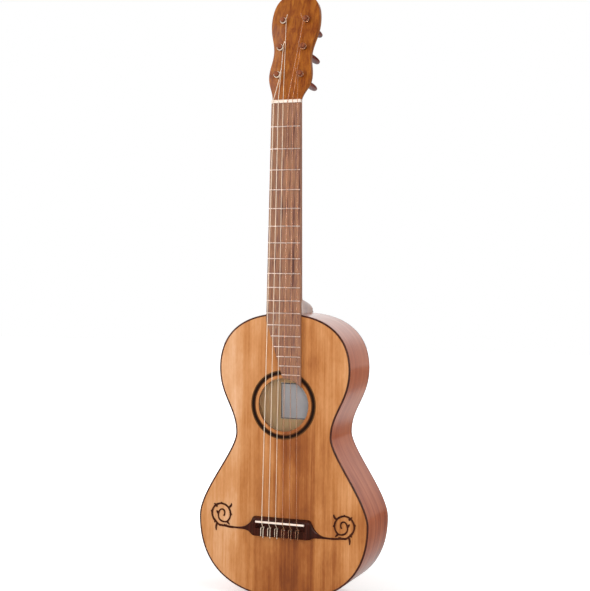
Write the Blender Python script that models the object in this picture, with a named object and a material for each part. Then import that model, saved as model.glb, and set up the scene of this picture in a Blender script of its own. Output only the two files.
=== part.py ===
"""Romantic guitar with a figure-of-eight body, twelve frets clear of the body and six friction pegs.

Metres, +Z up. The guitar stands upright, its front towards -Y and its treble side at +X.
The origin is on the centre line, where the strings leave the nut, in the plane of the soundboard.
"""
import math

import bmesh
import bpy
from mathutils import Matrix, Vector

# Driving dimensions of the whole guitar
SCALE_LENGTH = 0.640
FRET_COUNT = 18
BODY_FRET = 12
GAP = 0.0003
CUTTER_REACH = 0.01

# Half outline of the body, measured down from its top at the neck
BODY_LENGTH = 0.437
UPPER_BOUT_AT = 0.0848
UPPER_BOUT_HALF = 0.1069
WAIST_AT = 0.1864
WAIST_HALF = 0.0782
LOWER_BOUT_AT = 0.3179
LOWER_BOUT_HALF = 0.1386
SHOULDER_PULL = 0.070
UPPER_BOUT_PULL_UP = 0.0521
UPPER_BOUT_PULL_DOWN = 0.0466
WAIST_PULL_UP = 0.0379
WAIST_PULL_DOWN = 0.0278
LOWER_BOUT_PULL_UP = 0.0383
LOWER_BOUT_PULL_DOWN = 0.0691
TAIL_PULL = 0.0969
OUTLINE_STEPS = 11

# Box of the body
DEPTH_AT_NECK = 0.094
DEPTH_AT_TAIL = 0.105
SOUNDBOARD_THICKNESS = 0.0026
BACK_THICKNESS = 0.0026
SIDE_THICKNESS = 0.0022
BINDING_WIDTH = 0.0027
LINING_WIDTH = 0.006
LINING_HEIGHT = 0.014
NECK_BLOCK_WIDTH = 0.066
NECK_BLOCK_LENGTH = 0.026
END_BLOCK_WIDTH = 0.060
END_BLOCK_LENGTH = 0.014

# Soundhole, rosette and label
HOLE_BELOW_BODY_TOP = 0.140
HOLE_RADIUS = 0.0405
HOLE_SIDES = 64
ROSETTE_INNER_RADIUS = 0.0455
ROSETTE_OUTER_RADIUS = 0.0530
ROSETTE_DEPTH = 0.0011
LABEL_WIDTH = 0.082
LABEL_HEIGHT = 0.058
LABEL_BELOW_HOLE = 0.003
LABEL_THICKNESS = 0.0005

# Braces
TOP_BRACE_HEIGHT = 0.014
TOP_BRACE_WIDTH = 0.007
BACK_BRACE_HEIGHT = 0.013
BACK_BRACE_WIDTH = 0.009
BRACE_END_HEIGHT = 0.004
BRACE_END_TAPER = 0.034
TOP_BRACES_BELOW_BODY_TOP = (0.078, 0.208, 0.272)
BACK_BRACES_BELOW_BODY_TOP = (0.086, 0.205, 0.318)
BRIDGE_PLATE_LENGTH = 0.130
BRIDGE_PLATE_HEIGHT = 0.036
BRIDGE_PLATE_THICKNESS = 0.002

# Neck, fingerboard and nut
NUT_WIDTH = 0.0475
BODY_FRET_WIDTH = 0.0560
FINGERBOARD_THICKNESS = 0.0042
CUT_START_BELOW_BODY_TOP = 0.011
FRET_WIDTH = 0.0016
FRET_HEIGHT = 0.0010
FRET_SET_IN = 0.0004
TANG_WIDTH = 0.0006
TANG_DEPTH = 0.0018
NECK_DEPTH_AT_NUT = 0.0150
NECK_DEPTH_AT_HEEL = 0.0180
NECK_EDGE_POWER = 0.85
HEEL_WALL_SPREAD = 1.12
HEEL_WALL_POWER = 0.75
HEEL_FILLET = 0.006
HEEL_RISE = 0.0145
HEEL_FOOT_LENGTH = 0.006
HEEL_RIDGE_SHARE = 0.45
HEEL_HALF_WIDTH = 0.0125
HEEL_CAP_THICKNESS = 0.0026
HEEL_FOOT_OVERLAP = 0.004
HEEL_CAP_REACH = 1.02
HEEL_CAP_POWER = 0.8
NUT_LENGTH = 0.005
NUT_HEIGHT = 0.0068
NUT_STRING_HEIGHT = 0.0061
NUT_STRING_SPREAD = 0.039
BONE_CHAMFER = 0.0008

# Head
HEAD_TILT = math.radians(14.0)
HEAD_LENGTH = 0.1751
HEAD_THICKNESS = 0.0125
LOWER_LOBE_AT = 0.0403
LOWER_LOBE_HALF = 0.0339
HEAD_WAIST_AT = 0.0766
HEAD_WAIST_HALF = 0.0299
UPPER_LOBE_AT = 0.1286
UPPER_LOBE_HALF = 0.0389
THROAT_PULL = 0.0140
THROAT_SWELL = 1.05
LOWER_LOBE_PULL_DOWN = 0.0160
LOWER_LOBE_PULL_UP = 0.0144
HEAD_WAIST_PULL_DOWN = 0.0155
HEAD_WAIST_PULL_UP = 0.0169
UPPER_LOBE_PULL = 0.0219
CROWN_ROUNDING = 0.70
THROAT_LENGTH = 0.026
HEAD_EDGE_POWER = 0.10
HEAD_TIP_HALF = 0.002

# Pegs
PEG_ROWS_AT = (0.040, 0.085, 0.130)
PEG_COLUMN_HALF = 0.0190
PEG_RADIUS = 0.0038
PEG_POST_LENGTH = 0.0100
PEG_COLLAR_RADIUS = 0.0062
PEG_COLLAR_LENGTH = 0.0045
PEG_SHANK_LENGTH = 0.014
PEG_THUMB_LENGTH = 0.030
PEG_THUMB_HALF_WIDTH = 0.0075
PEG_THUMB_HALF_THICKNESS = 0.0036
PEG_SIDES = 12
PEG_BORE_SIDES = 16
PEG_TURN = math.radians(3.0)
PEG_STRING_HOLE = 0.0011
PEG_STRING_HOLE_BELOW_TIP = 0.0030
PEG_TIP_CHAMFER = 0.0008

# Bridge and saddle
BRIDGE_BLOCK_HALF = 0.0430
BRIDGE_END_HALF = 0.0500
BRIDGE_ABOVE_SADDLE = 0.0072
BRIDGE_BELOW_SADDLE = 0.0228
BRIDGE_HEIGHT = 0.0085
BRIDGE_END_TOP_DROP = 0.0072
BRIDGE_END_BOTTOM_RISE = 0.0023
BRIDGE_END_HEIGHT = 0.0040
WING_TIP_HALF = 0.080
WING_TIP_BELOW_SADDLE = 0.0156
WING_TIP_RISE = 0.0022
WING_TIP_WIDTH = 0.0026
WING_TIP_HEIGHT = 0.0011
WING_TOP_SWEEP = 3.4
WING_BOTTOM_SWEEP = 6.0
WING_HEIGHT_SWEEP = 2.5
SADDLE_HALF = 0.0396
SADDLE_THICKNESS = 0.0030
SADDLE_HEIGHT = 0.0108
SADDLE_SLOT_DEPTH = 0.0045
TROUGH_HALF = 0.0405
TROUGH_START = 0.0036
TROUGH_END = 0.0100
TROUGH_FLOOR = 0.0032
TIE_HOLE_HEIGHT = 0.0046
SADDLE_STRING_SPREAD = 0.0570

# Strings, from the bass side to the treble side
STRING_NAMES = ("string_6_e", "string_5_a", "string_4_d", "string_3_g", "string_2_b", "string_1_e")
STRING_DIAMETERS = (0.00109, 0.00091, 0.00076, 0.00102, 0.00082, 0.00071)
WINDING_TURNS = 2.0
WINDING_POINTS_PER_TURN = 14
WINDING_SPACE = 0.0008
WINDING_ABOVE_HEAD = 0.0022
TAIL_TURN = 0.20
TAIL_SWING = 0.0007
TAIL_LIFT = 0.0005
KNOT_HALF_WIDTH = 0.0021
KNOT_END_LEFT = 0.0030

# Scroll at each end of the bridge
SCROLL_CENTRE_OUT = 0.1012
SCROLL_CENTRE_BELOW_SADDLE = -0.0042
SCROLL_RADIUS = 0.0156
SCROLL_RING_START = math.radians(-50.0)
SCROLL_RING_END = math.radians(226.0)
SCROLL_VINE_WIDTH = 0.0032
SCROLL_VINE_TAPER = 0.25
SCROLL_THICKNESS = 0.0009

BODY_TOP = -SCALE_LENGTH * (1.0 - 2.0 ** (-BODY_FRET / 12.0))
HOLE_CENTRE = BODY_TOP - HOLE_BELOW_BODY_TOP
FINGERBOARD_TOP = -GAP - FINGERBOARD_THICKNESS
SMOOTH_UNDER = math.radians(32.0)
HEAD_START = NUT_LENGTH + GAP


def clear_scene():
    for old in list(bpy.data.objects):
        bpy.data.objects.remove(old, do_unlink=True)


# Materials and mesh building

FINISHES = {
    "cedar": ((0.60, 0.29, 0.10), 0.35, 0.0),
    "mahogany": ((0.30, 0.10, 0.045), 0.30, 0.0),
    "neck_wood": ((0.34, 0.15, 0.045), 0.35, 0.0),
    "rosewood": ((0.17, 0.075, 0.05), 0.45, 0.0),
    "dark_rosewood": ((0.05, 0.018, 0.012), 0.35, 0.0),
    "inside_wood": ((0.62, 0.43, 0.24), 0.7, 0.0),
    "bone": ((0.85, 0.80, 0.70), 0.4, 0.0),
    "paper": ((0.80, 0.79, 0.75), 0.9, 0.0),
    "fret_metal": ((0.72, 0.68, 0.64), 0.3, 1.0),
    "wound_string": ((0.78, 0.70, 0.60), 0.35, 0.8),
    "plain_string": ((0.80, 0.72, 0.62), 0.3, 0.0),
}


def finish(name):
    """The material of one finish, made the first time that it is asked for."""
    known = bpy.data.materials.get(name)
    if known:
        return known
    colour, roughness, metallic = FINISHES[name]
    made = bpy.data.materials.new(name)
    made.use_nodes = True
    shader = made.node_tree.nodes["Principled BSDF"]
    shader.inputs["Base Color"].default_value = (*colour, 1.0)
    shader.inputs["Roughness"].default_value = roughness
    shader.inputs["Metallic"].default_value = metallic
    return made


def add_object(name, bm, material):
    """An object with the finished mesh, its faces turned outwards."""
    bmesh.ops.remove_doubles(bm, verts=bm.verts, dist=1e-7)
    bmesh.ops.recalc_face_normals(bm, faces=bm.faces)
    mesh = bpy.data.meshes.new(name)
    bm.to_mesh(mesh)
    bm.free()
    mesh.materials.append(finish(material))
    made = bpy.data.objects.new(name, mesh)
    bpy.context.scene.collection.objects.link(made)
    return made


def loft(bm, rings, closed=False):
    """Joins rings of equally many points. An open loft gets an end face on its first and last ring."""
    rows = [[bm.verts.new(point) for point in ring] for ring in rings]
    count = len(rows[0])
    steps = len(rows) if closed else len(rows) - 1
    for step in range(steps):
        here = rows[step]
        there = rows[(step + 1) % len(rows)]
        for side in range(count):
            after = (side + 1) % count
            bm.faces.new((here[side], here[after], there[after], there[side]))
    if not closed:
        bm.faces.new(rows[0])
        bm.faces.new(list(reversed(rows[-1])))
    return bm


def lofted(name, rings, material, closed=False):
    return add_object(name, loft(bmesh.new(), rings, closed), material)


def flat_plate(name, outline, front, back, material):
    """A plate from an outline of (x, z). Front and back give Y, as a number or from z."""
    front_of = front if callable(front) else (lambda z: front)
    back_of = back if callable(back) else (lambda z: back)
    rings = [[(x, front_of(z), z) for x, z in outline], [(x, back_of(z), z) for x, z in outline]]
    return lofted(name, rings, material)


def add_box(bm, low, high):
    corners = ((low[0], low[1]), (high[0], low[1]), (high[0], high[1]), (low[0], high[1]))
    loft(bm, [[(x, y, low[2]) for x, y in corners], [(x, y, high[2]) for x, y in corners]])


def add_cylinder(bm, start, end, radius, sides):
    """A round bar between two points."""
    along = Vector(end) - Vector(start)
    turn = along.to_track_quat("Z", "Y").to_matrix().to_4x4()
    angles = [math.tau * k / sides for k in range(sides)]
    ring = [(radius * math.cos(angle), radius * math.sin(angle)) for angle in angles]
    place = Matrix.Translation(Vector(start)) @ turn
    rings = [[place @ Vector((x, y, height)) for x, y in ring] for height in (0.0, along.length)]
    loft(bm, rings)


def carve(target, name, fill, operation="DIFFERENCE"):
    """Cuts or joins with a hidden shape, which the function fill draws into a new mesh."""
    bm = bmesh.new()
    fill(bm)
    tool = add_object(name, bm, "cedar")
    tool.hide_render = True
    tool.display_type = "WIRE"
    step = target.modifiers.new(name, "BOOLEAN")
    step.operation = operation
    step.solver = "EXACT"
    step.object = tool


# Outline of the body

def bezier(a, b, c, d, steps):
    """Points of one cubic curve, without its last."""
    points = []
    for step in range(steps):
        t = step / steps
        u = 1.0 - t
        points.append(tuple(
            u ** 3 * a[k] + 3 * u * u * t * b[k] + 3 * u * t * t * c[k] + t ** 3 * d[k] for k in range(2)))
    return points


def half_outline():
    """The treble half of the body's outline as (x, z), from the neck round to the tail."""
    top, upper, waist, lower, tail = 0.0, UPPER_BOUT_AT, WAIST_AT, LOWER_BOUT_AT, BODY_LENGTH
    spans = [
        ((top, 0.0), (top, SHOULDER_PULL),
         (upper - UPPER_BOUT_PULL_UP, UPPER_BOUT_HALF), (upper, UPPER_BOUT_HALF)),
        ((upper, UPPER_BOUT_HALF), (upper + UPPER_BOUT_PULL_DOWN, UPPER_BOUT_HALF),
         (waist - WAIST_PULL_UP, WAIST_HALF), (waist, WAIST_HALF)),
        ((waist, WAIST_HALF), (waist + WAIST_PULL_DOWN, WAIST_HALF),
         (lower - LOWER_BOUT_PULL_UP, LOWER_BOUT_HALF), (lower, LOWER_BOUT_HALF)),
        ((lower, LOWER_BOUT_HALF), (lower + LOWER_BOUT_PULL_DOWN, LOWER_BOUT_HALF),
         (tail, TAIL_PULL), (tail, 0.0)),
    ]
    points = []
    for span in spans:
        points += bezier(*span, OUTLINE_STEPS)
    points.append((tail, 0.0))
    return [(half, BODY_TOP - down) for down, half in points]


def outline_normals(points):
    """Unit normals of the half outline, pointing out of the body."""
    normals = []
    for index, point in enumerate(points):
        before = points[index - 1] if index else (-points[1][0], points[1][1])
        after = points[index + 1] if index + 1 < len(points) else (-points[-2][0], points[-2][1])
        run = Vector((after[0] - before[0], after[1] - before[1])).normalized()
        normals.append(Vector((-run.y, run.x)))
    return normals


HALF = half_outline()
NORMALS = outline_normals(HALF)


def inset_half(distance):
    """The half outline moved inwards. Its two ends stay on the centre line."""
    return [(x - distance * n.x, z - distance * n.y) for (x, z), n in zip(HALF, NORMALS)]


def whole_outline(distance):
    """The body's closed outline, moved inwards."""
    half = inset_half(distance)
    return half + [(-x, z) for x, z in reversed(half[1:-1])]


def half_width(z, distance):
    """Half of the body's width at a height, measured inside the given inset."""
    half = inset_half(distance)
    for (x0, z0), (x1, z1) in zip(half, half[1:]):
        if z1 <= z <= z0:
            return x0 + (x1 - x0) * (z0 - z) / max(z0 - z1, 1e-9)
    return 0.0


def back_plane(z):
    """Y of the outer face of the back, which is further away at the tail."""
    return DEPTH_AT_NECK + (DEPTH_AT_TAIL - DEPTH_AT_NECK) * (BODY_TOP - z) / BODY_LENGTH


def back_inside(z):
    return back_plane(z) - BACK_THICKNESS


# Body

def round_points(radius, sides, centre_z=0.0):
    return [(radius * math.sin(math.tau * k / sides), centre_z + radius * math.cos(math.tau * k / sides))
            for k in range(sides)]


def ring_prism(bm, inner, outer, front, back, sides):
    """A flat ring about the soundhole's centre."""
    rings = []
    for radius, y in ((inner, front), (outer, front), (outer, back), (inner, back)):
        rings.append([(x, y, z) for x, z in round_points(radius, sides, HOLE_CENTRE)])
    loft(bm, rings, closed=True)


def make_soundboard():
    board = flat_plate("soundboard", whole_outline(BINDING_WIDTH + GAP), 0.0, SOUNDBOARD_THICKNESS, "cedar")
    carve(board, "soundhole_cutter", lambda bm: add_cylinder(
        bm, (0.0, -CUTTER_REACH, HOLE_CENTRE), (0.0, CUTTER_REACH, HOLE_CENTRE), HOLE_RADIUS, HOLE_SIDES))
    carve(board, "rosette_channel", lambda bm: ring_prism(
        bm, ROSETTE_INNER_RADIUS - GAP, ROSETTE_OUTER_RADIUS + GAP, -CUTTER_REACH,
        ROSETTE_DEPTH + GAP, HOLE_SIDES))


def make_rosette():
    bm = bmesh.new()
    ring_prism(bm, ROSETTE_INNER_RADIUS, ROSETTE_OUTER_RADIUS, 0.0, ROSETTE_DEPTH, HOLE_SIDES)
    add_object("rosette_ring", bm, "dark_rosewood")


def make_back():
    flat_plate("back_plate", whole_outline(BINDING_WIDTH + GAP), back_inside, back_plane, "mahogany")


def make_binding(name, front, back):
    """A band let into the edge, flush with the plate and with the sides."""
    outer = whole_outline(0.0)
    inner = whole_outline(BINDING_WIDTH)
    rings = [
        [(x, front(z), z) for x, z in outer],
        [(x, back(z), z) for x, z in outer],
        [(x, back(z), z) for x, z in inner],
        [(x, front(z), z) for x, z in inner],
    ]
    lofted(name, rings, "dark_rosewood", closed=True)


def strip_along(name, side, section, first, last, material):
    """Bends a section along one half of the outline. It lists (inset, y), with y from the height z."""
    insets = [(inset_half(distance), y_of) for distance, y_of in section]
    rings = []
    for index in range(first, last):
        ring = []
        for points, y_of in insets:
            x, z = points[index]
            ring.append((side * max(x, GAP / 2), y_of(z), z))
        rings.append(ring)
    lofted(name, rings, material)


def make_side(name, side):
    front = SOUNDBOARD_THICKNESS + GAP
    section = [
        (0.0, lambda z: front),
        (0.0, lambda z: back_inside(z) - GAP),
        (SIDE_THICKNESS, lambda z: back_inside(z) - GAP),
        (SIDE_THICKNESS, lambda z: front),
    ]
    strip_along(name, side, section, 0, len(HALF), "mahogany")


def lining_range():
    """Outline steps between the neck block and the end block."""
    first = next(k for k, (x, z) in enumerate(HALF) if x > NECK_BLOCK_WIDTH / 2 + LINING_WIDTH)
    last = max(k for k, (x, z) in enumerate(HALF) if x > END_BLOCK_WIDTH / 2 + LINING_WIDTH)
    return first, last + 1


def make_lining(name, side, plate, away):
    """A solid strip in the corner of a side and a plate, thinned away from the plate."""
    outer = SIDE_THICKNESS + GAP
    section = [
        (outer, lambda z: plate(z) + away * GAP),
        (outer, lambda z: plate(z) + away * LINING_HEIGHT),
        (outer + LINING_WIDTH / 3, lambda z: plate(z) + away * LINING_HEIGHT),
        (outer + LINING_WIDTH, lambda z: plate(z) + away * LINING_HEIGHT / 3),
        (outer + LINING_WIDTH, lambda z: plate(z) + away * GAP),
    ]
    first, last = lining_range()
    strip_along(name, side, section, first, last, "inside_wood")


def make_block(name, width, length, at_top):
    """A block of wood behind the joint of the two sides. Its outer face follows the sides."""
    half = inset_half(SIDE_THICKNESS + GAP)
    if not at_top:
        half = half[::-1]
    corner = width / 2
    inner = sum(1 for x, z in half[:len(half) // 3] if x < corner)
    edge = half[:inner]
    (x0, z0), (x1, z1) = half[inner - 1:inner + 1]
    corner_z = z0 + (z1 - z0) * (corner - x0) / (x1 - x0)
    end = edge[0][1]
    far = end - length if at_top else end + length
    right = edge + [(corner, corner_z), (corner, far)]
    outline = right + [(-x, z) for x, z in reversed(right) if x > 0.0]
    front = SOUNDBOARD_THICKNESS + GAP
    flat_plate(name, outline, front, lambda z: back_inside(z) - GAP, "inside_wood")


def make_brace(name, z, width, height, plate, away):
    """A transverse bar glued to a plate, thinned towards its ends."""
    inside = SIDE_THICKNESS + LINING_WIDTH + 3 * GAP
    reach = min(half_width(z - width / 2, inside), half_width(z + width / 2, inside))
    near = plate + away * GAP
    profile = [
        (-reach, near), (reach, near), (reach, near + away * BRACE_END_HEIGHT),
        (reach - BRACE_END_TAPER, near + away * height), (BRACE_END_TAPER - reach, near + away * height),
        (-reach, near + away * BRACE_END_HEIGHT),
    ]
    slope = (DEPTH_AT_NECK - DEPTH_AT_TAIL) / BODY_LENGTH if away < 0 else 0.0
    rings = [[(x, y + slope * step, z + step) for x, y in profile] for step in (-width / 2, width / 2)]
    lofted(name, rings, "inside_wood")


def make_braces():
    for number, down in enumerate(TOP_BRACES_BELOW_BODY_TOP, 1):
        make_brace(f"soundboard_brace_{number}", BODY_TOP - down, TOP_BRACE_WIDTH, TOP_BRACE_HEIGHT,
                   SOUNDBOARD_THICKNESS, 1.0)
    for number, down in enumerate(BACK_BRACES_BELOW_BODY_TOP, 1):
        z = BODY_TOP - down
        make_brace(f"back_brace_{number}", z, BACK_BRACE_WIDTH, BACK_BRACE_HEIGHT, back_inside(z), -1.0)


def make_bridge_plate():
    centre = -SCALE_LENGTH + (BRIDGE_ABOVE_SADDLE - BRIDGE_BELOW_SADDLE) / 2
    half = BRIDGE_PLATE_LENGTH / 2
    top = centre + BRIDGE_PLATE_HEIGHT / 2
    bottom = centre - BRIDGE_PLATE_HEIGHT / 2
    outline = [(-half, bottom), (half, bottom), (half, top), (-half, top)]
    front = SOUNDBOARD_THICKNESS + GAP
    flat_plate("bridge_plate", outline, front, front + BRIDGE_PLATE_THICKNESS, "inside_wood")


def make_label():
    """A bare paper label on the inside of the back, seen through the soundhole."""
    centre = HOLE_CENTRE - LABEL_BELOW_HOLE
    half = LABEL_WIDTH / 2
    top = centre + LABEL_HEIGHT / 2
    bottom = centre - LABEL_HEIGHT / 2
    outline = [(-half, bottom), (half, bottom), (half, top), (-half, top)]
    flat_plate("label", outline, lambda z: back_inside(z) - GAP - LABEL_THICKNESS,
               lambda z: back_inside(z) - GAP, "paper")


def make_body():
    make_soundboard()
    make_rosette()
    make_back()
    make_binding("top_binding", lambda z: 0.0, lambda z: SOUNDBOARD_THICKNESS)
    make_binding("back_binding", back_inside, back_plane)
    for name, side in (("bass", -1.0), ("treble", 1.0)):
        make_side(f"{name}_side", side)
        make_lining(f"top_lining_{name}", side, lambda z: SOUNDBOARD_THICKNESS, 1.0)
        make_lining(f"back_lining_{name}", side, back_inside, -1.0)
    make_block("neck_block", NECK_BLOCK_WIDTH, NECK_BLOCK_LENGTH, True)
    make_block("end_block", END_BLOCK_WIDTH, END_BLOCK_LENGTH, False)
    make_braces()
    make_bridge_plate()
    make_label()


# Neck and fingerboard

def fret_z(number):
    return -SCALE_LENGTH * (1.0 - 2.0 ** (-number / 12.0))


def board_half(z):
    """Half of the full width of the fingerboard at a height."""
    share = z / fret_z(BODY_FRET)
    return (NUT_WIDTH + (BODY_FRET_WIDTH - NUT_WIDTH) * share) / 2


def board_bass_edge(z):
    """X of the fingerboard's bass edge, which runs in to the soundhole below the body's top."""
    start = BODY_TOP - CUT_START_BELOW_BODY_TOP
    if z >= start:
        return -board_half(z)
    end = HOLE_CENTRE + HOLE_RADIUS
    return -board_half(start) * (z - end) / (start - end)


def fingerboard_outline():
    """Nut end, treble edge, arc along the soundhole, and the slanting cut on the bass side."""
    top = -GAP
    start = BODY_TOP - CUT_START_BELOW_BODY_TOP
    arc_radius = HOLE_RADIUS + GAP
    last_x = board_half(HOLE_CENTRE + arc_radius / 2)
    steps = 8
    arc = []
    for step in range(steps, -1, -1):
        x = last_x * step / steps
        arc.append((x, HOLE_CENTRE + math.sqrt(arc_radius ** 2 - x ** 2)))
    return [(-board_half(top), top), (board_half(top), top)] + arc + [(-board_half(start), start)]


def fret_slots(bm):
    half = TANG_WIDTH / 2 + GAP
    for number in range(1, FRET_COUNT + 1):
        z = fret_z(number)
        add_box(bm, (-BODY_FRET_WIDTH, FINGERBOARD_TOP - CUTTER_REACH, z - half),
                (BODY_FRET_WIDTH, FINGERBOARD_TOP + TANG_DEPTH + GAP, z + half))


def make_fingerboard():
    board = flat_plate("fingerboard", fingerboard_outline(), FINGERBOARD_TOP, -GAP, "rosewood")
    carve(board, "fret_slot_cutters", fret_slots)


def make_fret(number):
    """A crown on the fingerboard with a tang in its slot."""
    z = fret_z(number)
    low = FINGERBOARD_TOP - GAP
    half = FRET_WIDTH / 2
    tang = TANG_WIDTH / 2
    profile = [
        (half, low), (half * 0.75, low - FRET_HEIGHT * 0.7), (half * 0.3, low - FRET_HEIGHT),
        (-half * 0.3, low - FRET_HEIGHT), (-half * 0.75, low - FRET_HEIGHT * 0.7), (-half, low),
        (-tang, low), (-tang, FINGERBOARD_TOP + TANG_DEPTH),
        (tang, FINGERBOARD_TOP + TANG_DEPTH), (tang, low),
    ]
    left = board_bass_edge(z) + FRET_SET_IN
    right = board_half(z) - FRET_SET_IN
    rings = [[(x, y, z + across) for across, y in profile] for x in (left, right)]
    lofted(f"fret_{number:02d}", rings, "fret_metal")


def neck_section(z, half, depth, foot_half, heel):
    """A D section at a height, turned by heel from 0 to 1 into the deep section of the heel."""
    count = 14
    ring = []
    for step in range(count + 1):
        angle = math.pi * step / count
        share = abs(math.cos(angle))
        side = math.copysign(1.0, math.cos(angle)) if share > 1e-9 else 0.0
        d_x = half * share ** NECK_EDGE_POWER
        d_y = depth * math.sin(angle) ** NECK_EDGE_POWER
        down = min(1.0, math.sin(angle) * HEEL_WALL_SPREAD)
        wall = half + (foot_half - half) * down ** HEEL_WALL_POWER
        floor_share = math.sqrt(1.0 - 1.0 / HEEL_WALL_SPREAD ** 2)
        heel_x = wall * (1.0 if down < 1.0 else share / floor_share)
        heel_y = depth * down
        x = d_x + (heel_x - d_x) * heel
        y = d_y + (heel_y - d_y) * heel
        ring.append((side * x, y, z))
    return ring


def make_neck():
    """The shaft from the nut to the body, with its rounded heel down to the back plate."""
    foot_top = BODY_TOP + HEEL_FOOT_LENGTH
    ledge_z = foot_top + HEEL_RISE
    shaft_end = ledge_z + HEEL_FILLET
    ledge = NECK_DEPTH_AT_HEEL + HEEL_FILLET
    foot = back_inside(BODY_TOP) - GAP
    rings = []
    for step in range(9):
        z = NUT_LENGTH + (shaft_end - NUT_LENGTH) * step / 8
        depth = NECK_DEPTH_AT_NUT + (NECK_DEPTH_AT_HEEL - NECK_DEPTH_AT_NUT) * step / 8
        rings.append(neck_section(z, board_half(min(z, 0.0)), depth, HEEL_HALF_WIDTH, 0.0))
    for step in range(1, 4):
        turn = math.pi / 2 * step / 4
        z = shaft_end - HEEL_FILLET * math.sin(turn)
        depth = NECK_DEPTH_AT_HEEL + HEEL_FILLET * (1.0 - math.cos(turn))
        rings.append(neck_section(z, board_half(z), depth, HEEL_HALF_WIDTH, 0.0))
    for step in range(1, 9):
        share = step / 8
        turn = math.pi / 2 * (1.0 - share)
        z = foot_top + HEEL_RISE * math.sin(turn)
        depth = ledge + (foot - ledge) * math.cos(turn)
        narrow = HEEL_HALF_WIDTH * (HEEL_RIDGE_SHARE + (1.0 - HEEL_RIDGE_SHARE) * share)
        rings.append(neck_section(z, board_half(z), depth, narrow, share))
    for z in (BODY_TOP + HEEL_FOOT_LENGTH / 2, BODY_TOP - HEEL_FOOT_OVERLAP):
        rings.append(neck_section(z, board_half(z), foot, HEEL_HALF_WIDTH, 1.0))
    neck = lofted("neck", rings, "neck_wood")
    body = whole_outline(-GAP)
    carve(neck, "body_face_cutter", lambda bm: loft(bm, [
        [(x, -CUTTER_REACH, z) for x, z in body], [(x, 2 * DEPTH_AT_NECK, z) for x, z in body]]))


def heel_cap_outline():
    """Follows the heel's foot, and ends at the body."""
    steps = 12
    reach = HEEL_FOOT_LENGTH * HEEL_CAP_REACH
    outline = []
    for step in range(steps + 1):
        angle = math.pi * step / steps
        rise = reach * math.sin(angle) ** HEEL_CAP_POWER
        outline.append((HEEL_HALF_WIDTH * math.cos(angle), BODY_TOP + GAP + rise))
    return outline


def make_heel_cap():
    front = back_inside(BODY_TOP)
    flat_plate("heel_cap", heel_cap_outline(), front, front + HEEL_CAP_THICKNESS, "dark_rosewood")


def string_x(index, spread):
    return spread * (index / (len(STRING_NAMES) - 1) - 0.5)


def make_nut():
    """A bone bar with a notch for each string."""
    half = NUT_WIDTH / 2
    top = -GAP - NUT_HEIGHT
    profile = [(-half, -GAP), (-half, top + BONE_CHAMFER), (-half + BONE_CHAMFER, top)]
    for index, diameter in enumerate(STRING_DIAMETERS):
        x = string_x(index, NUT_STRING_SPREAD)
        reach = diameter / 2 + GAP
        floor = -NUT_STRING_HEIGHT + GAP
        profile += [(x - reach, top), (x - reach, floor), (x + reach, floor), (x + reach, top)]
    profile += [(half - BONE_CHAMFER, top), (half, top + BONE_CHAMFER), (half, -GAP)]
    rings = [[(x, y, z) for x, y in profile] for z in (0.0, NUT_LENGTH)]
    lofted("nut", rings, "bone")


# Head and pegs

def head_point(x, up, out):
    """A point x to the treble side, up along the head's face and out in front of it."""
    return Vector((
        x,
        up * math.sin(HEAD_TILT) - out * math.cos(HEAD_TILT),
        HEAD_START + up * math.cos(HEAD_TILT) + out * math.sin(HEAD_TILT)))


def head_half_outline():
    """Half of the head's hourglass as (up, half width), from the nut to its top."""
    nut = NUT_WIDTH / 2
    low = (LOWER_LOBE_AT, LOWER_LOBE_HALF)
    waist = (HEAD_WAIST_AT, HEAD_WAIST_HALF)
    high = (UPPER_LOBE_AT, UPPER_LOBE_HALF)
    tip = (HEAD_LENGTH, HEAD_TIP_HALF)
    crown = tip[0] - high[0]
    return (
        bezier((0.0, nut), (THROAT_PULL, nut * THROAT_SWELL), (low[0] - LOWER_LOBE_PULL_DOWN, low[1]), low, 6)
        + bezier(low, (low[0] + LOWER_LOBE_PULL_UP, low[1]), (waist[0] - HEAD_WAIST_PULL_DOWN, waist[1]),
                 waist, 5)
        + bezier(waist, (waist[0] + HEAD_WAIST_PULL_UP, waist[1]), (high[0] - UPPER_LOBE_PULL, high[1]),
                 high, 6)
        + bezier(high, (high[0] + crown * CROWN_ROUNDING, high[1]), (tip[0], high[1] * CROWN_ROUNDING),
                 tip, 8)
        + [tip])


def head_ring(up, half):
    """A section across the head. At the nut it is the neck's D, further up it turns square at the back."""
    count = 12
    share = min(1.0, up / THROAT_LENGTH)
    depth = NECK_DEPTH_AT_NUT + (HEAD_THICKNESS - NECK_DEPTH_AT_NUT) * share
    power = NECK_EDGE_POWER + (HEAD_EDGE_POWER - NECK_EDGE_POWER) * share
    lean = HEAD_TILT * share
    ring = []
    for step in range(count + 1):
        angle = math.pi * step / count
        side = math.cos(angle) if step != count // 2 else 0.0
        x = math.copysign(half * abs(side) ** power, side)
        down = depth * max(math.sin(angle), 0.0) ** power if 0 < step < count else 0.0
        ring.append((
            x,
            up * math.sin(HEAD_TILT) + down * math.cos(lean),
            HEAD_START + up * math.cos(HEAD_TILT) - down * math.sin(lean)))
    return ring


def peg_bores(bm):
    for side in (-1.0, 1.0):
        for up in PEG_ROWS_AT:
            x = side * PEG_COLUMN_HALF
            front = head_point(x, up, CUTTER_REACH)
            back = head_point(x, up, -HEAD_THICKNESS - CUTTER_REACH)
            add_cylinder(bm, front, back, PEG_RADIUS + 1.5 * GAP, PEG_BORE_SIDES)


def make_head():
    """The solid head, leaning back from the nut. Its throat takes up the neck's round back."""
    rings = [head_ring(up, half) for up, half in head_half_outline()]
    head = lofted("headstock", rings, "neck_wood")
    carve(head, "peg_bore_cutters", peg_bores)


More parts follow.
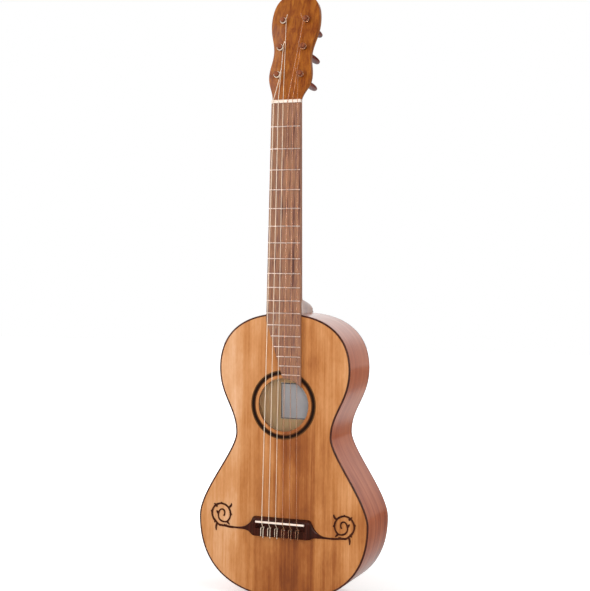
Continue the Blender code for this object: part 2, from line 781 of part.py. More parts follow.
def peg_profile():
    """Sections of a peg as (distance along its axis, half width, half thickness), tip first."""
    r = PEG_RADIUS
    back = -HEAD_THICKNESS - 3 * GAP
    collar = back - PEG_COLLAR_LENGTH
    shank = collar - PEG_SHANK_LENGTH
    thumb = shank - PEG_THUMB_LENGTH
    wide, thin = PEG_THUMB_HALF_WIDTH, PEG_THUMB_HALF_THICKNESS
    return [
        (PEG_POST_LENGTH, r * 0.80, r * 0.80),
        (PEG_POST_LENGTH - PEG_TIP_CHAMFER, r * 0.97, r * 0.97),
        (back, r, r),
        (back, PEG_COLLAR_RADIUS * 0.9, PEG_COLLAR_RADIUS * 0.9),
        ((back + collar) / 2, PEG_COLLAR_RADIUS, PEG_COLLAR_RADIUS),
        (collar, PEG_COLLAR_RADIUS * 0.85, PEG_COLLAR_RADIUS * 0.85),
        (collar - PEG_SHANK_LENGTH * 0.4, r * 0.85, r * 0.85),
        (shank, r * 1.15, r * 0.85),
        (shank + (thumb - shank) * 0.22, wide * 0.78, thin * 0.95),
        (shank + (thumb - shank) * 0.50, wide, thin),
        (shank + (thumb - shank) * 0.78, wide * 0.86, thin * 0.9),
        (shank + (thumb - shank) * 0.95, wide * 0.50, thin * 0.7),
        (thumb, wide * 0.20, thin * 0.4),
    ]


def make_peg(name, side, up):
    """A friction peg pushed in from the back, its thumb piece behind the head."""
    bm = bmesh.new()
    rings = []
    for along, wide, thin in peg_profile():
        ring = []
        for step in range(PEG_SIDES):
            angle = math.tau * step / PEG_SIDES
            ring.append((wide * math.cos(angle), thin * math.sin(angle), along))
        rings.append(ring)
    loft(bm, rings)
    peg = add_object(name, bm, "dark_rosewood")
    place = Matrix.Translation(head_point(side * PEG_COLUMN_HALF, up, 0.0))
    stand = Matrix.Rotation(math.pi / 2 - HEAD_TILT, 4, "X")
    peg.matrix_world = place @ stand @ Matrix.Rotation(-side * PEG_TURN, 4, "Z")
    axis = head_point(0.0, 0.0, 1.0) - head_point(0.0, 0.0, 0.0)
    across = head_point(0.0, 1.0, 0.0) - head_point(0.0, 0.0, 0.0)
    hole_out = PEG_POST_LENGTH - PEG_STRING_HOLE_BELOW_TIP
    centre = head_point(side * PEG_COLUMN_HALF, up, 0.0) + axis * hole_out
    carve(peg, f"{name}_string_hole", lambda mesh: add_cylinder(
        mesh, centre - across * CUTTER_REACH, centre + across * CUTTER_REACH, PEG_STRING_HOLE, 6))


def make_pegs():
    for side_name, side in (("bass", -1.0), ("treble", 1.0)):
        for row, up in enumerate(PEG_ROWS_AT, 1):
            make_peg(f"peg_{side_name}_{row}", side, up)


# Bridge, saddle and scrolls

def bridge_station(x):
    """Top edge, bottom edge and height of the bridge at a distance from the centre line."""
    out = abs(x)
    top = BRIDGE_ABOVE_SADDLE
    bottom = -BRIDGE_BELOW_SADDLE
    if out <= BRIDGE_BLOCK_HALF:
        return top, bottom, BRIDGE_HEIGHT
    rise = -math.copysign(WING_TIP_RISE, x)
    tip_top = -WING_TIP_BELOW_SADDLE + rise + WING_TIP_WIDTH / 2
    tip_bottom = tip_top - WING_TIP_WIDTH
    end_top = top - BRIDGE_END_TOP_DROP
    end_bottom = bottom + BRIDGE_END_BOTTOM_RISE
    end_height = BRIDGE_END_HEIGHT
    if out <= BRIDGE_END_HALF:
        share = (out - BRIDGE_BLOCK_HALF) / (BRIDGE_END_HALF - BRIDGE_BLOCK_HALF)
        ease = share * share * (3.0 - 2.0 * share)
        return (top + (end_top - top) * share ** 3,
                bottom + (end_bottom - bottom) * share ** 3,
                BRIDGE_HEIGHT + (end_height - BRIDGE_HEIGHT) * ease)
    left = 1.0 - (out - BRIDGE_END_HALF) / (WING_TIP_HALF - BRIDGE_END_HALF)
    return (tip_top + (end_top - tip_top) * left ** WING_TOP_SWEEP,
            tip_bottom + (end_bottom - tip_bottom) * left ** WING_BOTTOM_SWEEP,
            WING_TIP_HEIGHT + (end_height - WING_TIP_HEIGHT) * left ** WING_HEIGHT_SWEEP)


def bridge_ring(x):
    """A rounded section of the bridge across the strings, standing on the soundboard."""
    top, bottom, height = bridge_station(x)
    width = top - bottom
    shape = ((0.0, 0.0), (0.02, 0.45), (0.08, 0.80), (0.17, 1.0), (0.93, 1.0), (0.985, 0.85), (1.0, 0.0))
    return [(x, -GAP - high * height, -SCALE_LENGTH + top - down * width) for down, high in shape]


def saddle_slot(bm):
    half = SADDLE_THICKNESS / 2 + GAP
    add_box(bm, (-SADDLE_HALF - GAP, -BRIDGE_HEIGHT - CUTTER_REACH, -SCALE_LENGTH - half),
            (SADDLE_HALF + GAP, -GAP - BRIDGE_HEIGHT + SADDLE_SLOT_DEPTH, -SCALE_LENGTH + half))


def tie_trough(bm):
    """The hollow behind the saddle, and the six holes through the tie block."""
    add_box(bm, (-TROUGH_HALF, -BRIDGE_HEIGHT - CUTTER_REACH, -SCALE_LENGTH - TROUGH_END),
            (TROUGH_HALF, -TROUGH_FLOOR, -SCALE_LENGTH - TROUGH_START))


def tie_holes(bm):
    for index, diameter in enumerate(STRING_DIAMETERS):
        x = string_x(index, SADDLE_STRING_SPREAD)
        start = (x, -TIE_HOLE_HEIGHT, -SCALE_LENGTH - TROUGH_END + 0.001)
        end = (x, -TIE_HOLE_HEIGHT, -SCALE_LENGTH - BRIDGE_BELOW_SADDLE - 0.002)
        add_cylinder(bm, start, end, diameter / 2 + 1.6 * GAP, 8)


def make_bridge():
    """A rosewood block with a moustache wing on each side."""
    end_length = BRIDGE_END_HALF - BRIDGE_BLOCK_HALF
    wing_length = WING_TIP_HALF - BRIDGE_END_HALF
    right = [BRIDGE_BLOCK_HALF + end_length * share for share in (0.0, 0.35, 0.7, 1.0)]
    right += [BRIDGE_END_HALF + wing_length * share for share in (0.1, 0.22, 0.36, 0.55, 0.78, 1.0)]
    stations = [-x for x in reversed(right)] + right
    bridge = lofted("bridge", [bridge_ring(x) for x in stations], "dark_rosewood")
    carve(bridge, "saddle_slot_cutter", saddle_slot)
    carve(bridge, "tie_trough_cutter", tie_trough)
    carve(bridge, "tie_hole_cutters", tie_holes)


def make_saddle():
    """A bone bar in the bridge's slot, rounded along its top."""
    low = -GAP - BRIDGE_HEIGHT + SADDLE_SLOT_DEPTH - GAP
    high = -SADDLE_HEIGHT
    half = SADDLE_THICKNESS / 2
    profile = [(low, half), (high + BONE_CHAMFER, half), (high, half * 0.45), (high, -half * 0.45),
               (high + BONE_CHAMFER, -half), (low, -half)]
    rings = [[(x, y, z - SCALE_LENGTH) for y, z in profile] for x in (-SADDLE_HALF, SADDLE_HALF)]
    lofted("saddle", rings, "bone")


def add_ribbon(bm, points, widths):
    """A flat strip on the soundboard along points of (x, z), with a width at each point."""
    front = -GAP - SCROLL_THICKNESS
    rings = []
    for index, (x, z) in enumerate(points):
        before = points[max(index - 1, 0)]
        after = points[min(index + 1, len(points) - 1)]
        run = Vector((after[0] - before[0], after[1] - before[1])).normalized()
        half = widths[index] / 2
        a = (x - run.y * half, z + run.x * half)
        b = (x + run.y * half, z - run.x * half)
        rings.append([(a[0], front, a[1]), (b[0], front, b[1]), (b[0], -GAP, b[1]), (a[0], -GAP, a[1])])
    loft(bm, rings)


def scroll_place(centre_z, out, up):
    """A point of (x, z) from its distances to the scroll's centre in scroll radii."""
    return (SCROLL_CENTRE_OUT + SCROLL_RADIUS * out, centre_z + SCROLL_RADIUS * up)


def scroll_vine(centre_z, stem_z):
    """Stem, ring and inner curl of the right-hand scroll as points of (x, z), from the bridge inwards."""
    start = WING_TIP_HALF + GAP
    joined = (math.cos(SCROLL_RING_START), math.sin(SCROLL_RING_START))
    turned = (math.cos(SCROLL_RING_END), math.sin(SCROLL_RING_END))

    def span(spots, steps):
        return bezier(*[scroll_place(centre_z, out, up) for out, up in spots], steps)

    lowest = scroll_place(centre_z, 0.03, -1.17)
    points = bezier((start, stem_z), (start + 0.008, stem_z), (lowest[0] - 0.006, lowest[1]), lowest, 4)
    points += span(((0.03, -1.17), (0.28, -1.17), (0.46, -0.94), joined), 3)
    steps = 18
    for step in range(steps):
        angle = SCROLL_RING_START + (SCROLL_RING_END - SCROLL_RING_START) * step / steps
        points.append(scroll_place(centre_z, math.cos(angle), math.sin(angle)))
    points += span((turned, (-0.50, -0.90), (0.33, -0.86), (0.32, -0.16)), 6)
    points += span(((0.32, -0.16), (0.32, 0.13), (0.16, 0.44), (-0.08, 0.44)), 4)
    points += span(((-0.08, 0.44), (-0.40, 0.44), (-0.46, 0.0), (-0.27, -0.22)), 5)
    points.append(scroll_place(centre_z, -0.27, -0.22))
    return points


def scroll_leaves(centre_z):
    """Small hooks on the vine, each as three points of (x, z) from the vine to its tip. The table gives
    each point's angle in degrees and its distance to the scroll's centre in scroll radii."""
    hooks = (
        (140.0, 0.97, 141.0, 1.34, 134.0, 1.54),
        (56.0, 0.78, 53.0, 1.03, 51.0, 1.25),
        (92.0, 0.97, 91.0, 1.06, 89.0, 1.15),
        (12.0, 0.97, 10.0, 1.06, 7.0, 1.15),
        (176.0, 0.97, 180.0, 1.06, 185.0, 1.15),
        (230.0, 0.90, 230.0, 1.14, 228.0, 1.40),
        (-9.0, 0.33, 16.0, 0.44, 29.0, 0.58),
        (-66.0, 1.10, -68.0, 1.46, -73.0, 1.80),
        (-50.0, 0.99, -52.0, 1.10, -53.5, 1.22),
        (-105.0, 1.14, -113.0, 1.24, -118.0, 1.16),
    )
    leaves = []
    for hook in hooks:
        leaf = []
        for angle, reach in zip(hook[0::2], hook[1::2]):
            turn = math.radians(angle)
            leaf.append(scroll_place(centre_z, reach * math.cos(turn), reach * math.sin(turn)))
        leaves.append(leaf)
    return leaves


def make_scroll(name, side):
    """A thin vine laid on the soundboard, curling on from the tip of the bridge's wing."""
    rise = -side * WING_TIP_RISE
    centre_z = -SCALE_LENGTH - SCROLL_CENTRE_BELOW_SADDLE + rise
    stem_z = -SCALE_LENGTH - WING_TIP_BELOW_SADDLE + rise
    vine = [(side * x, z) for x, z in scroll_vine(centre_z, stem_z)]
    count = len(vine)
    widths = [SCROLL_VINE_WIDTH * (1.0 - SCROLL_VINE_TAPER * step / (count - 1)) for step in range(count)]
    bm = bmesh.new()
    add_ribbon(bm, vine, widths)
    scroll = add_object(name, bm, "dark_rosewood")
    leaf_widths = (SCROLL_VINE_WIDTH, SCROLL_VINE_WIDTH * 0.95, SCROLL_VINE_WIDTH * 0.45)
    for number, leaf in enumerate(scroll_leaves(centre_z), 1):
        points = [(side * x, z) for x, z in leaf]
        carve(scroll, f"{name}_leaf_{number}", lambda mesh, points=points: add_ribbon(
            mesh, points, leaf_widths), "UNION")


# Strings

def tie_knot(x, radius, saddle_top):
    """Points of the knot at the bridge, from the short end over the tie block to the saddle."""
    block_top = -GAP - BRIDGE_HEIGHT - GAP - radius
    rear = -SCALE_LENGTH - BRIDGE_BELOW_SADDLE - GAP - 2 * radius
    front = -SCALE_LENGTH - TROUGH_END + GAP + radius
    floor = -TROUGH_FLOOR - GAP - radius
    reach = KNOT_HALF_WIDTH
    return [
        (x - reach, block_top, rear + KNOT_END_LEFT),
        (x - reach, block_top - 0.0002, front - 0.0012),
        (x - reach, block_top + 0.0001, front + 0.0003),
        (x - reach, block_top + 0.0016, front + 0.0006),
        (x - reach * 0.8, floor - 0.0012, front + 0.0007),
        (x, floor, front + 0.0012),
        (x + reach * 0.8, floor - 0.0012, front + 0.0007),
        (x + reach, block_top + 0.0016, front + 0.0006),
        (x + reach, block_top + 0.0001, front + 0.0003),
        (x + reach * 0.95, block_top - 0.0002, front - 0.0012),
        (x + reach * 0.7, block_top, rear + 0.0030),
        (x + reach * 0.5, block_top + 0.0012, rear),
        (x + reach * 0.2, -TIE_HOLE_HEIGHT - 0.0010, rear - 0.0002),
        (x, -TIE_HOLE_HEIGHT, rear + 0.0006),
        (x, -TIE_HOLE_HEIGHT, rear + 0.0040),
        (x, -TIE_HOLE_HEIGHT, -SCALE_LENGTH - TROUGH_END - 0.0005),
        (x, saddle_top + 0.0008, -SCALE_LENGTH - 0.0022),
        (x, saddle_top, -SCALE_LENGTH),
    ]


def peg_winding(index, radius):
    """Points of the turns round the peg and the free end, starting where the string meets the post.
    The outer strings go to the lowest pegs, and the middle ones to the highest."""
    side = -1.0 if index < 3 else 1.0
    up = PEG_ROWS_AT[min(index, len(STRING_NAMES) - 1 - index)]
    centre_x = side * PEG_COLUMN_HALF
    ring = PEG_RADIUS + 1.3 * GAP + radius
    pitch = 2 * radius + WINDING_SPACE
    first = WINDING_ABOVE_HEAD + radius
    steps = int(WINDING_TURNS * WINDING_POINTS_PER_TURN)
    points = []
    for step in range(steps + 1):
        turn = math.tau * step / WINDING_POINTS_PER_TURN
        angle = turn if side < 0 else math.pi - turn
        out = first + pitch * turn / math.tau
        points.append(head_point(centre_x + ring * math.cos(angle), up + ring * math.sin(angle), out))
    end_turn = math.tau * steps / WINDING_POINTS_PER_TURN
    for step in range(1, 5):
        turn = end_turn + TAIL_TURN * step
        angle = turn if side < 0 else math.pi - turn
        grow = ring + TAIL_SWING * step ** 1.6
        out = first + pitch * end_turn / math.tau + TAIL_LIFT * step
        points.append(head_point(centre_x + grow * math.cos(angle), up + grow * math.sin(angle), out))
    return points


def string_route(index):
    radius = STRING_DIAMETERS[index] / 2
    bridge_x = string_x(index, SADDLE_STRING_SPREAD)
    nut_x = string_x(index, NUT_STRING_SPREAD)
    saddle_top = -SADDLE_HEIGHT - GAP - radius
    nut_y = -NUT_STRING_HEIGHT - radius
    knot = [Vector(point) for point in tie_knot(bridge_x, radius, saddle_top)]
    nut = [Vector((nut_x, nut_y, 0.0)), Vector((nut_x, nut_y, NUT_LENGTH * 0.6)),
           Vector((nut_x, nut_y + 0.0003, NUT_LENGTH + 0.0006))]
    return knot + nut + peg_winding(index, radius)


def least_self_gap(points, radius):
    """The smallest space between stretches of one string that aren't neighbours along it."""
    dense = []
    lengths = []
    travelled = 0.0
    for a, b in zip(points, points[1:]):
        pieces = max(1, int((b - a).length / 0.0005))
        for piece in range(min(pieces, 60)):
            share = piece / min(pieces, 60)
            dense.append(a.lerp(b, share))
            lengths.append(travelled + (b - a).length * share)
        travelled += (b - a).length
    least = 1.0
    for i, p in enumerate(dense):
        for j in range(i + 1, len(dense)):
            if lengths[j] - lengths[i] > 8 * radius + 0.004:
                least = min(least, (p - dense[j]).length)
    return least - 2 * radius


def make_string(index):
    radius = STRING_DIAMETERS[index] / 2
    points = string_route(index)
    curve = bpy.data.curves.new(STRING_NAMES[index], "CURVE")
    curve.dimensions = "3D"
    curve.bevel_depth = radius
    curve.bevel_resolution = 1
    curve.use_fill_caps = True
    spline = curve.splines.new("POLY")
    spline.points.add(len(points) - 1)
    for place, point in zip(spline.points, points):
        place.co = (*point, 1.0)
    curve.materials.append(finish("wound_string" if index < 3 else "plain_string"))
    made = bpy.data.objects.new(STRING_NAMES[index], curve)
    bpy.context.scene.collection.objects.link(made)
    print(f"{STRING_NAMES[index]}: least gap to itself {least_self_gap(points, radius) * 1000:.2f} mm")


def shade_round_pieces():
    for made in bpy.context.scene.objects:
        if made.type == "MESH":
            made.data.shade_smooth()
            made.data.set_sharp_from_angle(angle=SMOOTH_UNDER)
            for face in made.data.polygons:
                face.use_smooth = len(face.vertices) == 4


def main():
    clear_scene()
    make_body()
    make_neck()
    make_heel_cap()
    make_fingerboard()
    for number in range(1, FRET_COUNT + 1):
        make_fret(number)
    make_nut()
    make_head()
    make_pegs()
    make_bridge()
    make_saddle()
    make_scroll("bass_scroll", -1.0)
    make_scroll("treble_scroll", 1.0)
    for index in range(len(STRING_NAMES)):
        make_string(index)
    shade_round_pieces()


main()
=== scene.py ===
"""Looks of a romantic guitar: waisted body, slanting fingerboard end, moustache bridge and friction pegs.

In metres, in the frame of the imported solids: +Z up the neck, -Y out of the soundboard, +X to the treble side.
"""

import math

import bmesh
import bpy
from mathutils import Matrix, Vector


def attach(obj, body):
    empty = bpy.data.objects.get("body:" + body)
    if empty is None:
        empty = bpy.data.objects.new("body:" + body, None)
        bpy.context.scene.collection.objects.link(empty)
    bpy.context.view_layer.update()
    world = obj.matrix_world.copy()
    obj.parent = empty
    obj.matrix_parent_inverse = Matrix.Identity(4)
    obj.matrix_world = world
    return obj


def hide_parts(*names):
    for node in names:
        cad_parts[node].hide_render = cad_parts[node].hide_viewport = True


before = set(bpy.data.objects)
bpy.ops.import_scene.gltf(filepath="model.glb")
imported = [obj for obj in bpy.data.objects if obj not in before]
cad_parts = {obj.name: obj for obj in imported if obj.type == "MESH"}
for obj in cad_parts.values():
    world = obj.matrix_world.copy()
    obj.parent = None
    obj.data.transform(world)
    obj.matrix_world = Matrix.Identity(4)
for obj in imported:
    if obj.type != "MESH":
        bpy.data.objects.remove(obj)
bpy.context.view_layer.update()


# Studio
# A white sweep of paper and large soft lamps, with the camera a little to the treble side of the front.
# Polished wood mirrors the paper behind the guitar, bright to the bass side, and the dimmer room in front.

CAMERA_AZIMUTH = math.radians(21.1)
CAMERA_ELEVATION = math.radians(0.60)
CAMERA_ROLL = math.radians(0.72)
CAMERA_TARGET = Vector((0.0172, -0.0005, -0.2926))
CAMERA_DISTANCE = 1.897
CAMERA_FOCUS_PIXELS = 1248.0
PHOTO_WIDTH_PIXELS = 590.0
SENSOR_WIDTH = 36.0
FLOOR_Z = -0.7575
FLOOR_SIZE = 14.0
ROOM_LIGHT = 0.42
MIRRORED_ROOM = 0.07
MIRRORED_PAPER = 1.12
MIRRORED_FLOOR = 0.64
FLOOR_GLOW_NEAR = 0.44
FLOOR_GLOW_FAR = 1.0
BODY_MIDDLE = (0.0, 0.0, -0.40)


def linear(colour):
    """An sRGB hex colour as the linear values that a socket takes."""
    parts = [int(colour[k:k + 2], 16) / 255 for k in (1, 3, 5)]
    return (*[part / 12.92 if part <= 0.04045 else ((part + 0.055) / 1.055) ** 2.4 for part in parts], 1.0)


def fill(tree, node, sockets):
    """Sets sockets to constants, to outputs, or to whole nodes, which stand for their first output."""
    for name, value in sockets.items():
        if isinstance(value, bpy.types.Node):
            value = value.outputs[0]
        if isinstance(value, bpy.types.NodeSocket):
            tree.links.new(value, node.inputs[name])
        else:
            node.inputs[name].default_value = value


def add_node(tree, kind, sockets=None, **settings):
    """A node with its settings, its constants and its links."""
    made = tree.nodes.new(kind)
    for name, value in settings.items():
        setattr(made, name, value)
    fill(tree, made, sockets or {})
    return made


def add_lamp(name, place, aim, width, height, power):
    """A soft box that faces the point aim."""
    lamp = bpy.data.lights.new(name, "AREA")
    lamp.shape = "RECTANGLE"
    lamp.size = width
    lamp.size_y = height
    lamp.energy = power
    holder = bpy.data.objects.new(name, lamp)
    holder.location = place
    holder.rotation_euler = (Vector(aim) - Vector(place)).to_track_quat("-Z", "Y").to_euler()
    bpy.context.scene.collection.objects.link(holder)


def add_camera():
    """The camera, at its distance from its target and turned a little about its own axis."""
    azimuth, rise, roll = CAMERA_AZIMUTH, CAMERA_ELEVATION, CAMERA_ROLL
    back = Vector((math.sin(azimuth) * math.cos(rise), -math.cos(azimuth) * math.cos(rise), math.sin(rise)))
    level = Vector((math.cos(azimuth), math.sin(azimuth), 0.0))
    upright = back.cross(level)
    across = math.cos(roll) * level + math.sin(roll) * upright
    upward = -math.sin(roll) * level + math.cos(roll) * upright
    lens = bpy.data.cameras.new("camera")
    lens.sensor_fit = "HORIZONTAL"
    lens.sensor_width = SENSOR_WIDTH
    lens.lens = CAMERA_FOCUS_PIXELS / PHOTO_WIDTH_PIXELS * SENSOR_WIDTH
    lens.clip_start = 0.01
    camera = bpy.data.objects.new("camera", lens)
    turn = Matrix((across, upward, back)).transposed().to_4x4()
    camera.matrix_world = Matrix.Translation(CAMERA_TARGET + back * CAMERA_DISTANCE) @ turn
    bpy.context.scene.collection.objects.link(camera)
    bpy.context.scene.camera = camera


def add_room():
    """The world: white to look at, dimmer in reflections towards the camera's side, and an even light."""
    world = bpy.data.worlds.new("paper_room")
    bpy.context.scene.world = world
    world.use_nodes = True
    tree = world.node_tree
    tree.nodes.clear()
    rays = add_node(tree, "ShaderNodeLightPath").outputs
    way = add_node(tree, "ShaderNodeTexCoord").outputs["Generated"]
    way = add_node(tree, "ShaderNodeSeparateXYZ", {0: way}).outputs
    behind = add_node(tree, "ShaderNodeMapRange", {"Value": way[1], "From Min": -0.45, "From Max": 0.35})
    to_bass = add_node(tree, "ShaderNodeMapRange", {"Value": way[0], "From Min": 0.40, "From Max": 0.12})
    paper = add_node(tree, "ShaderNodeMath", {0: behind, 1: to_bass}, operation="MULTIPLY")
    mirrored = add_node(tree, "ShaderNodeMapRange", {
        "Value": paper, "To Min": MIRRORED_ROOM, "To Max": MIRRORED_PAPER})
    glossy = add_node(tree, "ShaderNodeMapRange", {
        "Value": rays["Is Glossy Ray"], "To Min": ROOM_LIGHT, "To Max": mirrored})
    seen = add_node(tree, "ShaderNodeMath", {0: rays["Is Camera Ray"], 1: rays["Is Transmission Ray"]},
                    operation="MAXIMUM")
    strength = add_node(tree, "ShaderNodeMapRange", {"Value": seen, "To Min": glossy, "To Max": 1.0})
    light = add_node(tree, "ShaderNodeBackground", {"Color": linear("#FFFFFF"), "Strength": strength})
    add_node(tree, "ShaderNodeOutputWorld", {"Surface": light})


def add_floor():
    """White paper. It takes the guitar's soft shadow and is white to the camera where no shadow falls."""
    half = FLOOR_SIZE / 2
    corners = [(x, y, FLOOR_Z) for x, y in ((-half, -half), (half, -half), (half, half), (-half, half))]
    mesh = bpy.data.meshes.new("floor")
    mesh.from_pydata(corners, [], [(0, 1, 2, 3)])
    floor = bpy.data.objects.new("floor", mesh)
    bpy.context.scene.collection.objects.link(floor)
    paper = bpy.data.materials.new("matt_white_paper")
    paper.use_nodes = True
    tree = paper.node_tree
    tree.nodes.clear()
    rays = add_node(tree, "ShaderNodeLightPath").outputs
    place = add_node(tree, "ShaderNodeTexCoord").outputs["Object"]
    flat = add_node(tree, "ShaderNodeVectorMath", {0: place, 1: (1.0, 1.0, 0.0)}, operation="MULTIPLY")
    away = add_node(tree, "ShaderNodeVectorMath", {0: flat}, operation="LENGTH").outputs["Value"]
    strength = add_node(tree, "ShaderNodeMapRange", {
        "Value": away, "From Min": 0.15, "From Max": 0.8,
        "To Min": FLOOR_GLOW_NEAR, "To Max": FLOOR_GLOW_FAR})
    spot = add_node(tree, "ShaderNodeSeparateXYZ", {0: place}).outputs
    slant = add_node(tree, "ShaderNodeMath", {0: spot[1], 1: -0.20, 2: spot[0]}, operation="MULTIPLY_ADD")
    to_bass = add_node(tree, "ShaderNodeMapRange", {"Value": slant, "From Min": 0.155, "From Max": 0.06})
    behind = add_node(tree, "ShaderNodeMapRange", {"Value": spot[1], "From Min": -0.1, "From Max": 0.2})
    lit = add_node(tree, "ShaderNodeMath", {0: behind, 1: to_bass}, operation="MULTIPLY")
    lit = add_node(tree, "ShaderNodeMapRange", {
        "Value": lit, "To Min": MIRRORED_ROOM, "To Max": MIRRORED_FLOOR})
    sheet = add_node(tree, "ShaderNodeBsdfDiffuse", {"Color": linear("#F2F2F1")})
    glow = add_node(tree, "ShaderNodeEmission", {"Color": linear("#FFFFFF"), "Strength": strength})
    bright = add_node(tree, "ShaderNodeAddShader", {0: sheet, 1: glow})
    image = add_node(tree, "ShaderNodeEmission", {"Color": linear("#FFFFFF"), "Strength": lit})
    mixed = add_node(tree, "ShaderNodeMixShader", {0: rays["Is Glossy Ray"], 1: sheet, 2: image})
    mixed = add_node(tree, "ShaderNodeMixShader", {0: rays["Is Camera Ray"], 1: mixed, 2: bright})
    add_node(tree, "ShaderNodeOutputMaterial", {"Surface": mixed})
    mesh.materials.append(paper)


bpy.context.scene.view_settings.view_transform = "Standard"
add_camera()
add_room()
add_floor()
add_lamp("key_lamp", (-2.1, -1.9, 0.7), BODY_MIDDLE, 1.2, 2.4, 36.0)
add_lamp("side_lamp", (2.3, -1.1, 0.5), BODY_MIDDLE, 0.8, 1.8, 15.0)
add_lamp("camera_lamp", (0.80, -2.05, -0.22), (0.0, 0.0, -0.46), 0.4, 0.4, 17.0)
add_lamp("back_lamp", (-1.4, 2.2, 1.5), BODY_MIDDLE, 1.8, 1.4, 12.5)


# Ribs
# Two thin strips of mahogany, bent over a hot iron to the figure of eight and lacquered to a gloss.
# The grain runs along each strip, so its pattern follows the strip's own length.

BODY_TOP = -0.320
BODY_LENGTH = 0.437
UPPER_BOUT_HALF = 0.1069
WAIST_HALF = 0.0782
LOWER_BOUT_HALF = 0.1386
DEPTH_AT_NECK = 0.094
DEPTH_AT_TAIL = 0.105
PLATE_THICKNESS = 0.0026
RIB_THICKNESS = 0.0022
BINDING_WIDTH = 0.0027
GLUE_LINE = 0.0003
BACK_SEAM = 0.000108
STEPS_PER_SPAN = 30
WAVES_ALONG_GRAIN = 0.045


def between(one, other, share):
    return one + (other - one) * share


def curve_points(start, leaving, arriving, end, steps):
    """Points of one cubic curve with its two handles, without its last."""
    points = []
    for step in range(steps):
        done = step / steps
        left = 1.0 - done
        points.append(tuple(
            left ** 3 * start[k] + 3 * left * left * done * leaving[k] + 3 * left * done * done * arriving[k]
            + done ** 3 * end[k] for k in range(2)))
    return points


def body_half(inset):
    """The treble half of the body's outline as (x, z) from the neck to the tail, moved inwards."""
    upper, waist, lower = (0.0848, UPPER_BOUT_HALF), (0.1864, WAIST_HALF), (0.3179, LOWER_BOUT_HALF)
    tail = (BODY_LENGTH, 0.0)
    spans = (
        ((0.0, 0.0), (0.0, 0.070), (0.0327, UPPER_BOUT_HALF), upper),
        (upper, (0.1314, UPPER_BOUT_HALF), (0.1485, WAIST_HALF), waist),
        (waist, (0.2142, WAIST_HALF), (0.2796, LOWER_BOUT_HALF), lower),
        (lower, (0.3870, LOWER_BOUT_HALF), (BODY_LENGTH, 0.0969), tail))
    down_half = [point for span in spans for point in curve_points(*span, STEPS_PER_SPAN)] + [tail]
    points = [(half, BODY_TOP - down) for down, half in down_half]
    mirrored = [(-x, z) for x, z in points]
    around = [mirrored[1]] + points + [mirrored[-2]]
    moved = []
    for before, (x, z), after in zip(around, points, around[2:]):
        run = Vector((after[0] - before[0], after[1] - before[1])).normalized()
        moved.append((x + inset * run.y, z - inset * run.x))
    return moved


def body_loop(inset):
    half = body_half(inset)
    return half + [(-x, z) for x, z in reversed(half[1:-1])]


def back_face(z):
    """Y of the outside of the back, which is further away at the tail."""
    return between(DEPTH_AT_NECK, DEPTH_AT_TAIL, (BODY_TOP - z) / BODY_LENGTH)


def show(name, mesh, material):
    piece = bpy.data.objects.new(name, mesh)
    bpy.context.scene.collection.objects.link(piece)
    if material:
        mesh.materials.append(material)
    return piece


def close(name, bm, material):
    """Turns the faces of a built shell outwards and shows it."""
    bmesh.ops.recalc_face_normals(bm, faces=bm.faces)
    mesh = bpy.data.meshes.new(name)
    bm.to_mesh(mesh)
    bm.free()
    return show(name, mesh, material)


def lofted(name, rings, material, loop=False, along=None, across=None):
    """A closed shell through rings of equally many points. Along and across, in metres, fill the UV map."""
    bm = bmesh.new()
    rows = [[bm.verts.new(point) for point in ring] for ring in rings]
    count = len(rows[0])
    grain = bm.loops.layers.uv.new("grain") if along else None
    for step in range(len(rows) if loop else len(rows) - 1):
        here = rows[step]
        there = rows[(step + 1) % len(rows)]
        for side in range(count):
            after = (side + 1) % count
            face = bm.faces.new((here[side], here[after], there[after], there[side]))
            if grain:
                corners = ((step, side), (step, side + 1), (step + 1, side + 1), (step + 1, side))
                for corner, (row, place) in zip(face.loops, corners):
                    corner[grain].uv = (across[place], along[row])
    if not loop:
        bm.faces.new(rows[0])
        bm.faces.new(list(reversed(rows[-1])))
    return close(name, bm, material)


def soften(piece, degrees=35.0):
    """Smooth shading that keeps edges sharper than the angle."""
    piece.data.shade_smooth()
    piece.data.set_sharp_from_angle(angle=math.radians(degrees))
    return piece


def settle(piece):
    """Turns what the modifiers make into the piece's own plain mesh."""
    graph = bpy.context.evaluated_depsgraph_get()
    mesh = bpy.data.meshes.new_from_object(piece.evaluated_get(graph), depsgraph=graph)
    piece.modifiers.clear()
    piece.data = mesh
    mesh.name = piece.name
    return piece


def fit(piece, slot, *nodes, body="guitar"):
    """Sets a finished piece on its body, in place of the solids it stands for."""
    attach(piece, body)
    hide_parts(*nodes)


def new_material(name):
    """A material with its node tree and the shader in it."""
    material = bpy.data.materials.new(name)
    material.use_nodes = True
    return material, material.node_tree, material.node_tree.nodes["Principled BSDF"]


def coloured(ramp, stops):
    """Gives a ramp its stops, as pairs of a position and a hex colour or a grey."""
    elements = ramp.color_ramp.elements
    while len(elements) < len(stops):
        elements.new(0.5)
    for element, (position, colour) in zip(elements, stops):
        element.position = position
        element.color = linear(colour) if isinstance(colour, str) else (colour, colour, colour, 1.0)
    return ramp


def fibres(tree, place, per_metre, detail, roughness=0.5, distortion=0.0, start=(0.0, 0.0, 0.0)):
    """Noise that is drawn out along the grain, from its waves to the metre along each axis."""
    drawn = add_node(tree, "ShaderNodeMapping", {"Vector": place, "Scale": per_metre, "Location": start})
    return add_node(tree, "ShaderNodeTexNoise", {
        "Vector": drawn, "Scale": 1.0, "Detail": detail, "Roughness": roughness, "Distortion": distortion})


